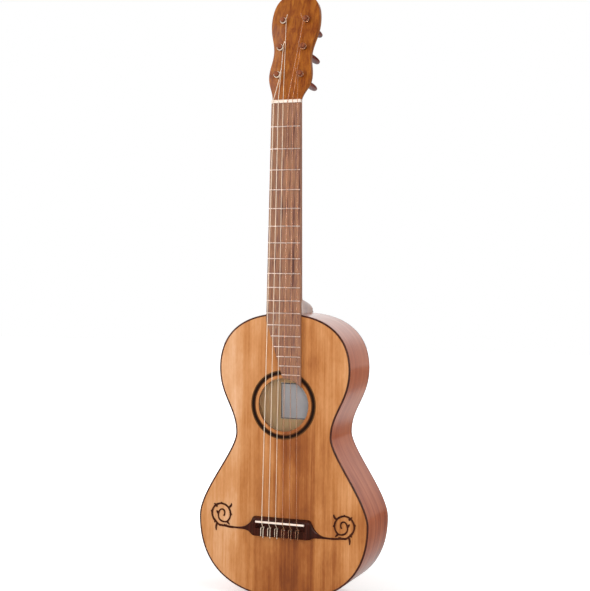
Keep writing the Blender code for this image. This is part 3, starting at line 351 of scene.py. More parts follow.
def wood(name, tones, streak, pore, roughness, coat, relief=0.10, figure=0.0, grain_map=None, shine=0.5):
    """Planed wood. Tones run from the darkest streak to the palest, streak and pore are widths in metres.
    Figure adds soft bands across the grain. Without a grain map the grain runs up the Z axis."""
    material, tree, shader = new_material(name)
    if grain_map:
        place = add_node(tree, "ShaderNodeUVMap", uv_map=grain_map).outputs["UV"]
        stretch = (1.0, WAVES_ALONG_GRAIN, 1.0)
    else:
        place = add_node(tree, "ShaderNodeTexCoord").outputs["Object"]
        stretch = (1.0, 1.0, WAVES_ALONG_GRAIN)
    bands = fibres(tree, place, [share / streak for share in stretch], 4.0, 0.6, 0.5)
    pores = fibres(tree, place, [share / pore for share in stretch], 3.0, 0.65)
    cloud = add_node(tree, "ShaderNodeTexNoise", {"Vector": place, "Scale": 16.0, "Detail": 2.0})
    tone = -0.5 * figure
    for pattern, share in ((bands, 0.62), (pores, 0.20), (cloud, 0.18 + figure)):
        tone = add_node(tree, "ShaderNodeMath", {0: pattern, 1: share, 2: tone}, operation="MULTIPLY_ADD")
    ramp = coloured(add_node(tree, "ShaderNodeValToRGB", {0: tone}), [
        (0.34 + 0.32 * number / (len(tones) - 1), colour) for number, colour in enumerate(tones)])
    open_pores = add_node(tree, "ShaderNodeMapRange", {
        "Value": pores, "From Min": 0.60, "From Max": 0.72, "To Max": 0.45})
    colour = add_node(tree, "ShaderNodeMix", {0: open_pores, 6: ramp, 7: linear(tones[0])}, data_type="RGBA")
    gloss = add_node(tree, "ShaderNodeMapRange", {
        "Value": pores, "To Min": roughness - 0.06, "To Max": roughness + 0.08})
    bump = add_node(tree, "ShaderNodeBump", {"Height": pores, "Strength": relief, "Distance": 0.0004})
    fill(tree, shader, {
        "Base Color": colour.outputs[2], "Roughness": gloss, "Normal": bump, "Specular IOR Level": shine,
        "Coat Weight": coat, "Coat Roughness": 0.12})
    return material


# Reddish brown with soft bands under a lacquer that mirrors the paper and the lamps.
rib_mahogany = wood("lacquered_bent_mahogany", ("#9E4626", "#BC6038", "#CC7248", "#D8845C"), 0.013, 0.0011,
                    0.30, 0.60, grain_map="grain", figure=0.10, shine=0.35)
# The same wood left bare inside looks paler and dull.
bare_mahogany = wood("bare_bent_mahogany", ("#A57C58", "#BC9168", "#CFA67C"), 0.011, 0.0012, 0.75, 0.0,
                     grain_map="grain", shine=0.2)
seam = GLUE_LINE / 6
front = PLATE_THICKNESS + GLUE_LINE / 3
outer = body_half(0.0)
inner = body_half(RIB_THICKNESS)
along = [0.0]
for spot, after in zip(outer, outer[1:]):
    along.append(along[-1] + math.dist(spot, after))
across = [0.0, DEPTH_AT_TAIL, DEPTH_AT_TAIL + RIB_THICKNESS]
across += [2 * DEPTH_AT_TAIL, 2 * DEPTH_AT_TAIL + RIB_THICKNESS]
for name, side in (("bass_rib", -1.0), ("treble_rib", 1.0)):
    rings = []
    for (x, z), (inner_x, inner_z) in zip(outer, inner):
        x = side * max(x, seam)
        inner_x = side * max(inner_x, seam)
        rings.append([
            (x, front, z), (x, back_face(z) - PLATE_THICKNESS - BACK_SEAM, z),
            (inner_x, back_face(inner_z) - PLATE_THICKNESS - BACK_SEAM, inner_z), (inner_x, front, inner_z)])
    rib = soften(lofted(name, rings, rib_mahogany, along=along, across=across), 30.0)
    rib.data.materials.append(bare_mahogany)
    for face in rib.data.polygons:
        face.material_index = 1 if face.index % 4 == 2 and face.index < 4 * (len(along) - 1) else 0
    fit(rib, "back_and_sides", name.replace("rib", "side"))


# Soundboard
# One thin plate of old-looking softwood, planed from two boards, with a thin satin lacquer. Its grain
# shows as upright streaks, and a darker board lies just to the treble side of the centre line.

HOLE_Z = BODY_TOP - 0.140
HOLE_RADIUS = 0.0405
ROSETTE_INNER = 0.0455
ROSETTE_OUTER = 0.0530
ROSETTE_DEPTH = 0.0011
HOLE_SIDES = 128
BOARD_SHIFT = 0.010


def circle(radius, y):
    angles = [math.tau * k / HOLE_SIDES for k in range(HOLE_SIDES)]
    return [(radius * math.sin(angle), y, HOLE_Z + radius * math.cos(angle)) for angle in angles]


def plate(name, outline, front, back, material, hole=()):
    """A flat plate from an outline of (x, z), with an optional hole as (radius, y) from its front inwards."""
    bm = bmesh.new()
    rims = [[bm.verts.new((x, y_of(z), z)) for x, z in outline] for y_of in (front, back)]
    rounds = [[bm.verts.new(point) for point in circle(radius, y)] for radius, y in hole]
    for loops in (rims, rounds):
        for one, other in zip(loops, loops[1:]):
            for k in range(len(one)):
                after = (k + 1) % len(one)
                bm.faces.new((one[k], one[after], other[after], other[k]))
    for end, rim in ((0, rims[0]), (-1, rims[1])):
        if rounds:
            edges = [bm.edges.get(pair) for loop in (rim, rounds[end])
                     for pair in zip(loop, loop[1:] + loop[:1])]
            bmesh.ops.triangle_fill(bm, use_beauty=True, edges=edges)
        else:
            bm.faces.new(rim)
    return close(name, bm, material)


def soundboard_wood():
    """Honey-coloured with streaks 3 to 40 mm wide along the grain, darker towards the tail and below the
    soundhole, with hardly any mirror. Growth rings are drawn 3 mm apart, as finer ones don't show."""
    material, tree, shader = new_material("satin_lacquered_softwood")
    place = add_node(tree, "ShaderNodeTexCoord").outputs["Object"]
    spot = add_node(tree, "ShaderNodeSeparateXYZ", {0: place}).outputs
    sway = fibres(tree, place, (6.0, 1.0, 2.2), 2.0)
    x = add_node(tree, "ShaderNodeMath", {0: sway, 1: 0.014, 2: spot[0]}, operation="MULTIPLY_ADD")
    share = add_node(tree, "ShaderNodeMapRange", {
        "Value": x, "From Min": BOARD_SHIFT - LOWER_BOUT_HALF, "From Max": BOARD_SHIFT + LOWER_BOUT_HALF})
    boards = coloured(add_node(tree, "ShaderNodeValToRGB", {0: share}), (
        (0.00, 0.60), (0.08, 0.86), (0.20, 0.82), (0.26, 0.54), (0.31, 0.58), (0.40, 0.48), (0.478, 0.42),
        (0.492, 0.28), (0.60, 0.26), (0.62, 0.35), (0.674, 0.34), (0.684, 0.48), (0.78, 0.53), (0.88, 0.66),
        (1.0, 0.46)))
    streaks = fibres(tree, place, (110.0, 30.0, 3.2), 4.0, 0.62, 0.25)
    rings = fibres(tree, place, (340.0, 60.0, 5.5), 2.0, 0.55)
    patches = fibres(tree, place, (26.0, 10.0, 11.0), 4.0, 0.6, start=(0.37, 0.0, 1.7))
    flecks = fibres(tree, place, (420.0, 90.0, 130.0), 2.0)
    below_hole = add_node(tree, "ShaderNodeMapping", {
        "Vector": place, "Location": (-0.30, 0.0, 8.6), "Scale": (15.0, 0.0, 16.8)})
    away = add_node(tree, "ShaderNodeVectorMath", {0: below_hole}, operation="LENGTH").outputs["Value"]
    darkened = add_node(tree, "ShaderNodeMapRange", {
        "Value": away, "From Min": 0.2, "From Max": 1.0, "To Min": -0.07, "To Max": 0.0})
    height = add_node(tree, "ShaderNodeMapRange", {
        "Value": spot[2], "From Min": BODY_TOP, "From Max": BODY_TOP - BODY_LENGTH,
        "To Min": 0.05, "To Max": -0.11})
    aged = add_node(tree, "ShaderNodeMath", {0: darkened, 1: height}, operation="ADD")
    tone = add_node(tree, "ShaderNodeMath", {0: boards, 1: 0.62, 2: aged}, operation="MULTIPLY_ADD")
    for pattern, share in ((streaks, 0.42), (rings, 0.16), (patches, 0.46), (flecks, 0.10)):
        centred = add_node(tree, "ShaderNodeMath", {0: pattern, 1: 0.5}, operation="SUBTRACT")
        tone = add_node(tree, "ShaderNodeMath", {0: centred, 1: share, 2: tone}, operation="MULTIPLY_ADD")
    ramp = coloured(add_node(tree, "ShaderNodeValToRGB", {0: tone}), (
        (0.0, "#7C3E17"), (0.13, "#9A5623"), (0.27, "#B9763D"), (0.41, "#CD8E58"), (0.54, "#DDA679"),
        (0.66, "#E9BD9B")))
    gloss = add_node(tree, "ShaderNodeMapRange", {"Value": rings, "To Min": 0.42, "To Max": 0.54})
    bump = add_node(tree, "ShaderNodeBump", {"Height": rings, "Strength": 0.08, "Distance": 0.0003})
    fill(tree, shader, {"Base Color": ramp, "Roughness": gloss, "Normal": bump, "Specular IOR Level": 0.30})
    return material


# Painted shade: the hole's wall is coloured a dull dark brown for the shadow on it, so that the hole's edge
# reads as a dark line.
hole_wall_shade_paint = wood("painted_shade_on_hole_wall", ("#3A160C", "#4A2010", "#5A2A17"), 0.004, 0.0008, 0.45, 0.0,
                    shine=0.3)
board = plate(
    "soundboard_plate", body_loop(BINDING_WIDTH), lambda z: 0.0, lambda z: PLATE_THICKNESS, soundboard_wood(),
    hole=((ROSETTE_OUTER, 0.0), (ROSETTE_OUTER, ROSETTE_DEPTH), (ROSETTE_INNER, ROSETTE_DEPTH),
          (ROSETTE_INNER, 0.0), (HOLE_RADIUS + 0.0007, 0.0), (HOLE_RADIUS + 0.0002, 0.0002),
          (HOLE_RADIUS, 0.0007), (HOLE_RADIUS, PLATE_THICKNESS)))
board.data.materials.append(hole_wall_shade_paint)
# Only the faces of the hole's wall take the painted shade.
for face in board.data.polygons:
    at_hole = math.hypot(face.center.x, face.center.z - HOLE_Z) < HOLE_RADIUS + 0.0003
    face.material_index = 1 if at_hole and abs(face.normal.y) < 0.5 else 0
fit(soften(board), "soundboard", "soundboard")


# Rosette
# A ring let into the soundboard flush: a nearly black core between two dark brown strips, scraped level
# and lacquered with the board.

RING_PLAY = 0.00005


def rosette_wood():
    """Dark brown at both edges and nearly black between them, in bands round the hole, without a mirror."""
    material, tree, shader = new_material("flush_stained_wood_ring")
    place = add_node(tree, "ShaderNodeTexCoord").outputs["Object"]
    centred = add_node(tree, "ShaderNodeVectorMath", {0: place, 1: (0.0, 0.0, -HOLE_Z)}, operation="ADD")
    flat = add_node(tree, "ShaderNodeVectorMath", {0: centred, 1: (1.0, 0.0, 1.0)}, operation="MULTIPLY")
    radius = add_node(tree, "ShaderNodeVectorMath", {0: flat}, operation="LENGTH").outputs["Value"]
    fuzz = add_node(tree, "ShaderNodeTexNoise", {"Vector": place, "Scale": 420.0, "Detail": 3.0})
    fuzzed = add_node(tree, "ShaderNodeMath", {0: fuzz, 1: 0.0006, 2: radius}, operation="MULTIPLY_ADD")
    share = add_node(tree, "ShaderNodeMapRange", {
        "Value": fuzzed, "From Min": ROSETTE_INNER + 0.0003, "From Max": ROSETTE_OUTER + 0.0003})
    ramp = coloured(add_node(tree, "ShaderNodeValToRGB", {0: share}), (
        (0.0, "#4A2812"), (0.14, "#6A3E1E"), (0.24, "#241209"), (0.68, "#1E0E07"), (0.78, "#4E3018"),
        (0.92, "#664424"), (0.98, "#30190C")))
    fill(tree, shader, {"Base Color": ramp, "Roughness": 0.42, "Specular IOR Level": 0.10})
    return material


rosette = lofted("rosette_inlay", [
    circle(ROSETTE_INNER + RING_PLAY, GLUE_LINE / 6), circle(ROSETTE_OUTER - RING_PLAY, GLUE_LINE / 6),
    circle(ROSETTE_OUTER - RING_PLAY, ROSETTE_DEPTH), circle(ROSETTE_INNER + RING_PLAY, ROSETTE_DEPTH)],
    rosette_wood(), loop=True)
fit(soften(rosette), "binding", "rosette_ring")


# Back
# A flat mahogany plate, planed thin and lacquered to a gloss on its outside. Inside it is left bare, and
# the soundhole shows a little of it.

# Outside it looks like the ribs, inside pale and dull.
back_mahogany = wood("lacquered_mahogany_plate", ("#944A2E", "#B06444", "#C07454", "#CC8666"), 0.013, 0.0012,
                     0.30, 0.60, figure=0.08, shine=0.35)
pale_mahogany = wood("bare_mahogany_plate", ("#E8B07A", "#FFDCA8", "#F2C08C", "#FFE8C2"), 0.012, 0.0014,
                     0.75, 0.0, shine=0.2)
back = plate("back_board", body_loop(BINDING_WIDTH), lambda z: back_face(z) - PLATE_THICKNESS, back_face,
             back_mahogany)
back.data.materials.append(pale_mahogany)
for face in back.data.polygons:
    face.material_index = 1 if face.normal.y < -0.5 else 0
fit(soften(back), "back_and_sides", "back_plate")


# Bindings
# Strips of dark wood bent round both edges of the body and rounded over on the outside. They are glued
# flush into a step cut along the edge, and cover the end grain of soundboard and back.

def new_tree(name, sizes):
    """A Geometry Nodes tree for a path, a material and sizes, given as (name, socket kind, value)."""
    tree = bpy.data.node_groups.new(name, "GeometryNodeTree")
    tree.interface.new_socket("Path", in_out="INPUT", socket_type="NodeSocketGeometry")
    for label, kind, value in sizes:
        tree.interface.new_socket(label, in_out="INPUT", socket_type=kind).default_value = value
    tree.interface.new_socket("Material", in_out="INPUT", socket_type="NodeSocketMaterial")
    tree.interface.new_socket("Shape", in_out="OUTPUT", socket_type="NodeSocketGeometry")
    return tree, add_node(tree, "NodeGroupInput").outputs


def end_tree(tree, shape, material):
    """Ends a tree with plain geometry in its material."""
    whole = add_node(tree, "GeometryNodeRealizeInstances", {0: shape})
    dressed = add_node(tree, "GeometryNodeSetMaterial", {0: whole, "Material": material})
    add_node(tree, "NodeGroupOutput", {0: dressed})
    return tree


def laid_strip_tree():
    """Sweeps a strip with rounded corners along paths that lie flat on the XZ plane."""
    tree, given = new_tree("laid_strip", (
        ("Width", "NodeSocketFloat", 0.002), ("Height", "NodeSocketFloat", 0.001),
        ("Corner", "NodeSocketFloat", 0.0003)))
    line = add_node(tree, "GeometryNodeMeshToCurve", {0: given["Path"]})
    level = add_node(tree, "GeometryNodeTransform", {0: line, "Rotation": (-math.pi / 2, 0.0, 0.0)})
    upright = add_node(tree, "GeometryNodeSetCurveNormal", {0: level}, mode="Z_UP")
    section = add_node(tree, "GeometryNodeCurvePrimitiveQuadrilateral", {
        "Width": given["Width"], "Height": given["Height"]})
    rounded = add_node(tree, "GeometryNodeFilletCurve", {
        0: section, "Count": 3, "Radius": given["Corner"], "Limit Radius": True}, mode="POLY")
    girth = add_node(tree, "GeometryNodeInputNamedAttribute", {"Name": "girth"}, data_type="FLOAT")
    swept = add_node(tree, "GeometryNodeCurveToMesh", {
        "Curve": upright, "Profile Curve": rounded, "Scale": girth.outputs["Attribute"], "Fill Caps": True})
    back_up = add_node(tree, "GeometryNodeTransform", {0: swept, "Rotation": (math.pi / 2, 0.0, 0.0)})
    return end_tree(tree, back_up, given["Material"])


def path_piece(name, paths, tree, values):
    """Runs a tree on paths, each a list of points and girths with a word that says whether it closes."""
    mesh = bpy.data.meshes.new(name)
    edges = []
    start = 0
    for run, girths, closed in paths:
        edges += [(start + k, start + k + 1) for k in range(len(run) - 1)]
        if closed:
            edges.append((start + len(run) - 1, start))
        start += len(run)
    mesh.from_pydata([point for run, girths, closed in paths for point in run], edges, [])
    girth = mesh.attributes.new("girth", "FLOAT", "POINT")
    girth.data.foreach_set("value", [share for run, girths, closed in paths for share in girths])
    piece = show(name, mesh, None)
    step = piece.modifiers.new("shape", "NODES")
    step.node_group = tree
    for item in tree.interface.items_tree:
        if item.name in values:
            step[item.identifier] = values[item.name]
    settle(piece)
    bm = bmesh.new()
    bm.from_mesh(piece.data)
    bmesh.ops.remove_doubles(bm, verts=bm.verts, dist=1e-7)
    bmesh.ops.recalc_face_normals(bm, faces=bm.faces)
    bm.to_mesh(piece.data)
    bm.free()
    return soften(piece)


laid_strip = laid_strip_tree()
# Dark brown with a faint shine, as the lacquer runs over it.
binding_wood = wood("lacquered_dark_binding_wood", ("#34160C", "#4A2214", "#623222"), 0.006, 0.0009,
                    0.36, 0.15, shine=0.3)
for name, node, middle in (
        ("top_edge_binding", "top_binding", lambda z: PLATE_THICKNESS / 2),
        ("back_edge_binding", "back_binding", lambda z: back_face(z) - PLATE_THICKNESS / 2)):
    run = [(x, middle(z), z) for x, z in body_loop(BINDING_WIDTH / 2)]
    binding = path_piece(name, [(run, [1.0] * len(run), True)], laid_strip, {
        "Width": BINDING_WIDTH, "Height": PLATE_THICKNESS, "Corner": 0.0007, "Material": binding_wood})
    fit(binding, "binding", node)


# Inside of the body
# Bare spruce blocks, linings and braces, glued and left without lacquer, and the bridge plate.
# They are flat sawn pieces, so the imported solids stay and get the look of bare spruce.

def repaint(material, *nodes):
    for node in nodes:
        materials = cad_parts[node].data.materials
        materials.clear()
        materials.append(material)


# Pale and dull, with fine straight grain.
bare_spruce = wood("bare_spruce", ("#B08B60", "#C7A478", "#D8B98D", "#E2C69E"), 0.004, 0.0012, 0.72, 0.0,
                   shine=0.2)
repaint(bare_spruce, "neck_block", "end_block", "top_lining_bass", "top_lining_treble", "back_lining_bass",
        "back_lining_treble", "bridge_plate")
for braced in ("soundboard", "back"):
    repaint(bare_spruce, *[f"{braced}_brace_{number}" for number in (1, 2, 3)])


# Label
# Plain wove paper, cut to a rectangle and glued to the inside of the back, where the soundhole shows
# it. It is bare but for a thin printed border.

LABEL_HALF_WIDTH = 0.041
LABEL_HALF_HEIGHT = 0.029
LABEL_Z = HOLE_Z - 0.003
BORDER_INSET = 0.0011
BORDER_HALF_WIDTH = 0.0006


def label_paper():
    """White with faint stains, dull, and a dark line all round it."""
    material, tree, shader = new_material("wove_paper")
    place = add_node(tree, "ShaderNodeTexCoord").outputs["Object"]
    spot = add_node(tree, "ShaderNodeSeparateXYZ", {0: place}).outputs
    inwards = []
    for coordinate, centre, half in ((spot[0], 0.0, LABEL_HALF_WIDTH), (spot[2], LABEL_Z, LABEL_HALF_HEIGHT)):
        off = add_node(tree, "ShaderNodeMath", {0: coordinate, 1: centre}, operation="SUBTRACT")
        off = add_node(tree, "ShaderNodeMath", {0: off}, operation="ABSOLUTE")
        inwards.append(add_node(tree, "ShaderNodeMath", {0: half, 1: off}, operation="SUBTRACT"))
    edge = add_node(tree, "ShaderNodeMath", {0: inwards[0], 1: inwards[1]}, operation="MINIMUM")
    border = add_node(tree, "ShaderNodeMath", {0: edge, 1: BORDER_INSET, 2: BORDER_HALF_WIDTH},
                      operation="COMPARE")
    tooth = add_node(tree, "ShaderNodeTexNoise", {"Vector": place, "Scale": 900.0, "Detail": 3.0})
    stains = add_node(tree, "ShaderNodeTexNoise", {"Vector": place, "Scale": 40.0, "Detail": 2.0})
    sheet = coloured(add_node(tree, "ShaderNodeValToRGB", {0: stains}), ((0.3, "#E2E1E4"), (0.7, "#ECECEF")))
    colour = add_node(tree, "ShaderNodeMix", {0: border, 6: sheet, 7: linear("#3B3636")}, data_type="RGBA")
    bump = add_node(tree, "ShaderNodeBump", {"Height": tooth, "Strength": 0.15, "Distance": 0.0001})
    fill(tree, shader, {"Base Color": colour.outputs[2], "Normal": bump, "Roughness": 0.9})
    return material


repaint(label_paper(), "label")


# Neck and heel
# Carved from one piece of golden brown mahogany, with a D section under the fingerboard that runs out
# into the narrow heel, and lacquered like the ribs.

NUT_WIDTH = 0.0475
BODY_FRET_WIDTH = 0.0560
SCALE_LENGTH = 0.640
NUT_LENGTH = 0.005
NECK_DEPTH_AT_NUT = 0.0150
NECK_DEPTH_AT_HEEL = 0.0180
NECK_EDGE_POWER = 0.85
HEEL_EDGE_POWER = 0.75
HEEL_FULLNESS = 1.12
HEEL_HALF_WIDTH = 0.0125
HEEL_FOOT_LENGTH = 0.006
HEEL_RISE = 0.0145
HEEL_FILLET = 0.006
NECK_POINTS = 40
GOLDEN_TONES = ("#703008", "#8E4810", "#A65E1A", "#B47028")


def board_half(z):
    """Half of the fingerboard's full width at a height."""
    return between(NUT_WIDTH, BODY_FRET_WIDTH, z / BODY_TOP) / 2


def body_top_at(x):
    """Height of the body's rounded top edge at a distance from the centre line."""
    half = body_half(-GLUE_LINE / 3)
    for (x0, z0), (x1, z1) in zip(half, half[1:]):
        if x0 <= abs(x) <= x1:
            return between(z0, z1, (abs(x) - x0) / (x1 - x0))
    return half[0][1]


def half_turn(steps):
    """Cosine and sine at even steps round half a circle, exact at its ends and its middle."""
    angles = [math.pi * step / steps for step in range(1, steps)]
    turns = [(math.cos(angle), math.sin(angle)) for angle in angles]
    turns[steps // 2 - 1] = (0.0, 1.0)
    return [(1.0, 0.0)] + turns + [(-1.0, 0.0)]


def neck_ring(z, half, depth, foot_half, heel):
    """A D section, turned by heel from 0 to 1 into the deep section of the heel."""
    ring = []
    for cosine, sine in half_turn(NECK_POINTS):
        d_x = half * abs(cosine) ** NECK_EDGE_POWER
        d_y = depth * sine ** NECK_EDGE_POWER
        down = min(1.0, sine * HEEL_FULLNESS)
        heel_x = between(half, foot_half, down ** HEEL_EDGE_POWER)
        if down == 1.0:
            heel_x *= abs(cosine) / math.sqrt(1.0 - 1.0 / HEEL_FULLNESS ** 2)
        x = math.copysign(between(d_x, heel_x, heel), cosine)
        y = between(d_y, depth * down, heel)
        ring.append((x, y, z if z is not None else body_top_at(x)))
    return ring


# Golden brown streaks under the same lacquer as the ribs.
neck_wood = wood("lacquered_golden_mahogany", GOLDEN_TONES, 0.0060, 0.0010, 0.42, 0.60, shine=0.25)
foot_top = BODY_TOP + HEEL_FOOT_LENGTH
shaft_end = foot_top + HEEL_RISE + HEEL_FILLET
foot_y = back_face(BODY_TOP) - PLATE_THICKNESS - GLUE_LINE
ledge = NECK_DEPTH_AT_HEEL + HEEL_FILLET
rings = []
for step in range(21):
    z = NUT_LENGTH + (shaft_end - NUT_LENGTH) * step / 20
    depth = between(NECK_DEPTH_AT_NUT, NECK_DEPTH_AT_HEEL, step / 20)
    rings.append(neck_ring(z, board_half(min(z, 0.0)), depth, HEEL_HALF_WIDTH, 0.0))
for step in range(1, 8):
    turn = math.pi / 2 * step / 8
    z = shaft_end - HEEL_FILLET * math.sin(turn)
    rings.append(neck_ring(z, board_half(z), ledge - HEEL_FILLET * math.cos(turn), HEEL_HALF_WIDTH, 0.0))
for step in range(1, 25):
    share = step / 24
    z = foot_top + HEEL_RISE * math.cos(math.pi / 2 * share)
    depth = between(ledge, foot_y, math.sin(math.pi / 2 * share))
    rings.append(neck_ring(z, board_half(z), depth, HEEL_HALF_WIDTH * (0.45 + 0.55 * share), share))
rings.append(neck_ring(None, board_half(BODY_TOP), foot_y, HEEL_HALF_WIDTH, 1.0))
fit(soften(lofted("neck_and_heel", rings, neck_wood), 50.0), "neck_wood", "neck")


# Heel cap
# A slip of dark rosewood, filed to the outline of the heel's foot, glued under it and polished. It lies
# level with the back.

CAP_THICKNESS = 0.0026
CAP_OVERHANG = 1.02
CAP_EDGE_POWER = 0.8


def bevelled(piece, width, degrees=40.0):
    """Rounds the piece's edges that are sharper than the angle."""
    step = piece.modifiers.new("rounding", "BEVEL")
    step.width = width
    step.segments = 3
    step.limit_method = "ANGLE"
    step.angle_limit = math.radians(degrees)
    return soften(settle(piece))


# Nearly black, with a soft shine from polishing.
polished_rosewood = wood("polished_dark_rosewood", ("#1C0804", "#321207", "#441B0F", "#562819"), 0.004,
                         0.0008, 0.36, 0.10, shine=0.2)
cap_foot = BODY_TOP + GLUE_LINE
cap = [(HEEL_HALF_WIDTH * cosine, cap_foot + HEEL_FOOT_LENGTH * CAP_OVERHANG * sine ** CAP_EDGE_POWER)
       for cosine, sine in half_turn(32)]
cap_front = back_face(BODY_TOP) - PLATE_THICKNESS
cap_piece = plate("heel_cap_slip", cap, lambda z: cap_front, lambda z: cap_front + CAP_THICKNESS,
                  polished_rosewood)
fit(bevelled(cap_piece, 0.0005), "bridge_wood", "heel_cap")


# Fingerboard
# Brown rosewood, planed flat and oiled rather than lacquered, so its long open pores show. Its bass
# corner is sawn off on a slant below the body's top, and its end follows the soundhole.

FINGERBOARD_TOP = -0.0045
CUT_START = BODY_TOP - 0.011

start_half = board_half(CUT_START)
arc_radius = HOLE_RADIUS + GLUE_LINE
last_x = board_half(HOLE_Z + arc_radius / 2)
outline = [(-board_half(0.0), -GLUE_LINE), (board_half(0.0), -GLUE_LINE)]
for step in range(24, -1, -1):
    x = last_x * step / 24
    outline.append((x, HOLE_Z + math.sqrt(arc_radius ** 2 - x ** 2)))
outline.append((-start_half, CUT_START))
# Greyish brown with dark pores, and only a dull sheen from the oil.
oiled_rosewood = wood("oiled_brown_rosewood", ("#3C1E12", "#744A3E", "#A67656", "#7A5248", "#B68A68"), 0.0042,
                      0.0012, 0.50, 0.0, relief=0.25, shine=0.35)
fingerboard = plate("fingerboard_slab", outline, lambda z: FINGERBOARD_TOP, lambda z: -GLUE_LINE,
                    oiled_rosewood)
fit(bevelled(fingerboard, 0.0004), "fingerboard", "fingerboard")


# Frets
# Eighteen lengths of drawn nickel silver wire with a rounded crown, pressed into sawn slots and filed
# round at both ends. The lower six get shorter with the slanting end of the board.

FRET_COUNT = 18
FRET_WIDTH = 0.0016
FRET_HEIGHT = 0.0012
FRET_SUNK = 0.0001
FRET_INSET = 0.0004
FRET_END = 0.0009


def metal(name, colour, roughness, scratches, bare):
    """Metal with fine scratches, given as their spacing in metres along X, Y and Z. Bare is the share of the
    surface that mirrors, as the rest is dulled by use and scatters light."""
    material, tree, shader = new_material(name)
    place = add_node(tree, "ShaderNodeTexCoord").outputs["Object"]
    marks = fibres(tree, place, [1.0 / spacing for spacing in scratches], 3.0)
    rough = add_node(tree, "ShaderNodeMapRange", {
        "Value": marks, "To Min": roughness - 0.08, "To Max": roughness + 0.10})
    fill(tree, shader, {"Base Color": linear(colour), "Metallic": bare, "Roughness": rough})
    return material


# Warm silver, with fine lines across the neck from the file.
nickel_silver = metal("polished_nickel_silver", "#F6DED2", 0.34, (0.004, 0.0003, 0.0003), 0.65)
board_end = HOLE_Z + HOLE_RADIUS
y = FINGERBOARD_TOP - FRET_HEIGHT / 2 + FRET_SUNK
paths = []
for number in range(1, FRET_COUNT + 1):
    z = -SCALE_LENGTH * (1.0 - 2.0 ** (-number / 12.0))
    right = board_half(z) - FRET_INSET
    left = FRET_INSET - board_half(z)
    if z < CUT_START:
        left = FRET_INSET - start_half * (z - board_end) / (CUT_START - board_end)
    run = [(x, y, z) for x in (left, left + FRET_END, right - FRET_END, right)]
    paths.append((run, [0.5, 1.0, 1.0, 0.5], False))
frets = path_piece("frets", paths, laid_strip, {
    "Width": FRET_WIDTH, "Height": FRET_HEIGHT, "Corner": 0.00050, "Material": nickel_silver})
fit(frets, "fret_metal", *[f"fret_{number:02d}" for number in range(1, FRET_COUNT + 1)])


# Nut
# A bar of polished bone, glued on behind the fingerboard and rounded on its top edges. A notch filed
# for each string keeps it in its place.

STRINGS = (("string_6_e", 0.00109), ("string_5_a", 0.00091), ("string_4_d", 0.00076), ("string_3_g", 0.00102),
           ("string_2_b", 0.00082), ("string_1_e", 0.00071))
NUT_SPREAD = 0.039
NUT_TOP = -0.0071
NUT_STRING_Y = -0.0061
NUT_ROUNDING = 0.0006
NOTCH_PLAY = 0.0002


def string_x(index, spread):
    return spread * (index / (len(STRINGS) - 1) - 0.5)


def bone():
    """Warm white and smooth, with faint streaks where the grain of the bone was cut."""
    material, tree, shader = new_material("polished_bone")
    place = add_node(tree, "ShaderNodeTexCoord").outputs["Object"]
    streaks = fibres(tree, place, (90.0, 900.0, 900.0), 3.0)
    ramp = coloured(add_node(tree, "ShaderNodeValToRGB", {0: streaks}), (
        (0.35, "#FAE2D0"), (0.65, "#FFF0E4")))
    fill(tree, shader, {"Base Color": ramp, "Roughness": 0.32, "Coat Weight": 0.3, "Coat Roughness": 0.15})
    return material


polished_bone = bone()
nut_half = NUT_WIDTH / 2
notches = [(string_x(index, NUT_SPREAD), diameter / 2) for index, (name, diameter) in enumerate(STRINGS)]
columns = [side * (nut_half - inset) for side in (-1.0, 1.0) for inset in (0.0, 0.0003, 0.0009)]
for middle, radius in notches:
    reach = radius + NOTCH_PLAY
    columns += [middle + reach * share for share in (-1.0, -0.9, -0.6, -0.3, 0.0, 0.3, 0.6, 0.9, 1.0)]
rings = []
for x in sorted(columns):
    top = NUT_TOP
    for middle, radius in notches:
        reach = radius + NOTCH_PLAY
        away = abs(x - middle)
        if away < reach:
            top = max(top, NUT_STRING_Y - radius + math.sqrt(reach ** 2 - away ** 2))
    edge = max(0.0, NUT_ROUNDING - (nut_half - abs(x)))
    top += edge
    rings.append([
        (x, -GLUE_LINE, edge * 0.5), (x, top + 0.0012, edge * 0.5), (x, top + 0.0004, 0.0004),
        (x, top, 0.0012), (x, top + 0.0001, 0.0030), (x, top + 0.0006, 0.0042),
        (x, top + 0.0014, NUT_LENGTH - edge * 0.5), (x, -GLUE_LINE, NUT_LENGTH - edge * 0.5)])
fit(soften(lofted("nut_bar", rings, polished_bone), 50.0), "bone", "nut")


# Head
# The same mahogany as the neck, sawn to an hourglass, leaning back from the nut and rounded along its
# edges. Six tapered holes take the pegs.

HEAD_TILT = math.radians(14.0)
HEAD_START = 0.0053
HEAD_THICKNESS = 0.0125
HEAD_LENGTH = 0.1751
HEAD_EDGE_POWER = 0.10
THROAT_LENGTH = 0.026
LOWER_LOBE_HALF = 0.0339
HEAD_WAIST_HALF = 0.0299
UPPER_LOBE_HALF = 0.0389
CROWN_HALF = 0.0010
PEG_ROWS = (0.040, 0.085, 0.130)
PEG_COLUMN = 0.0190
PEG_RADIUS = 0.0038
PEG_HOLE_PLAY = 0.00035


def head_point(x, up, out):
    """A point x to the treble side, up along the head's face and out in front of it."""
    return Vector((
        x,
        up * math.sin(HEAD_TILT) - out * math.cos(HEAD_TILT),
        HEAD_START + up * math.cos(HEAD_TILT) + out * math.sin(HEAD_TILT)))


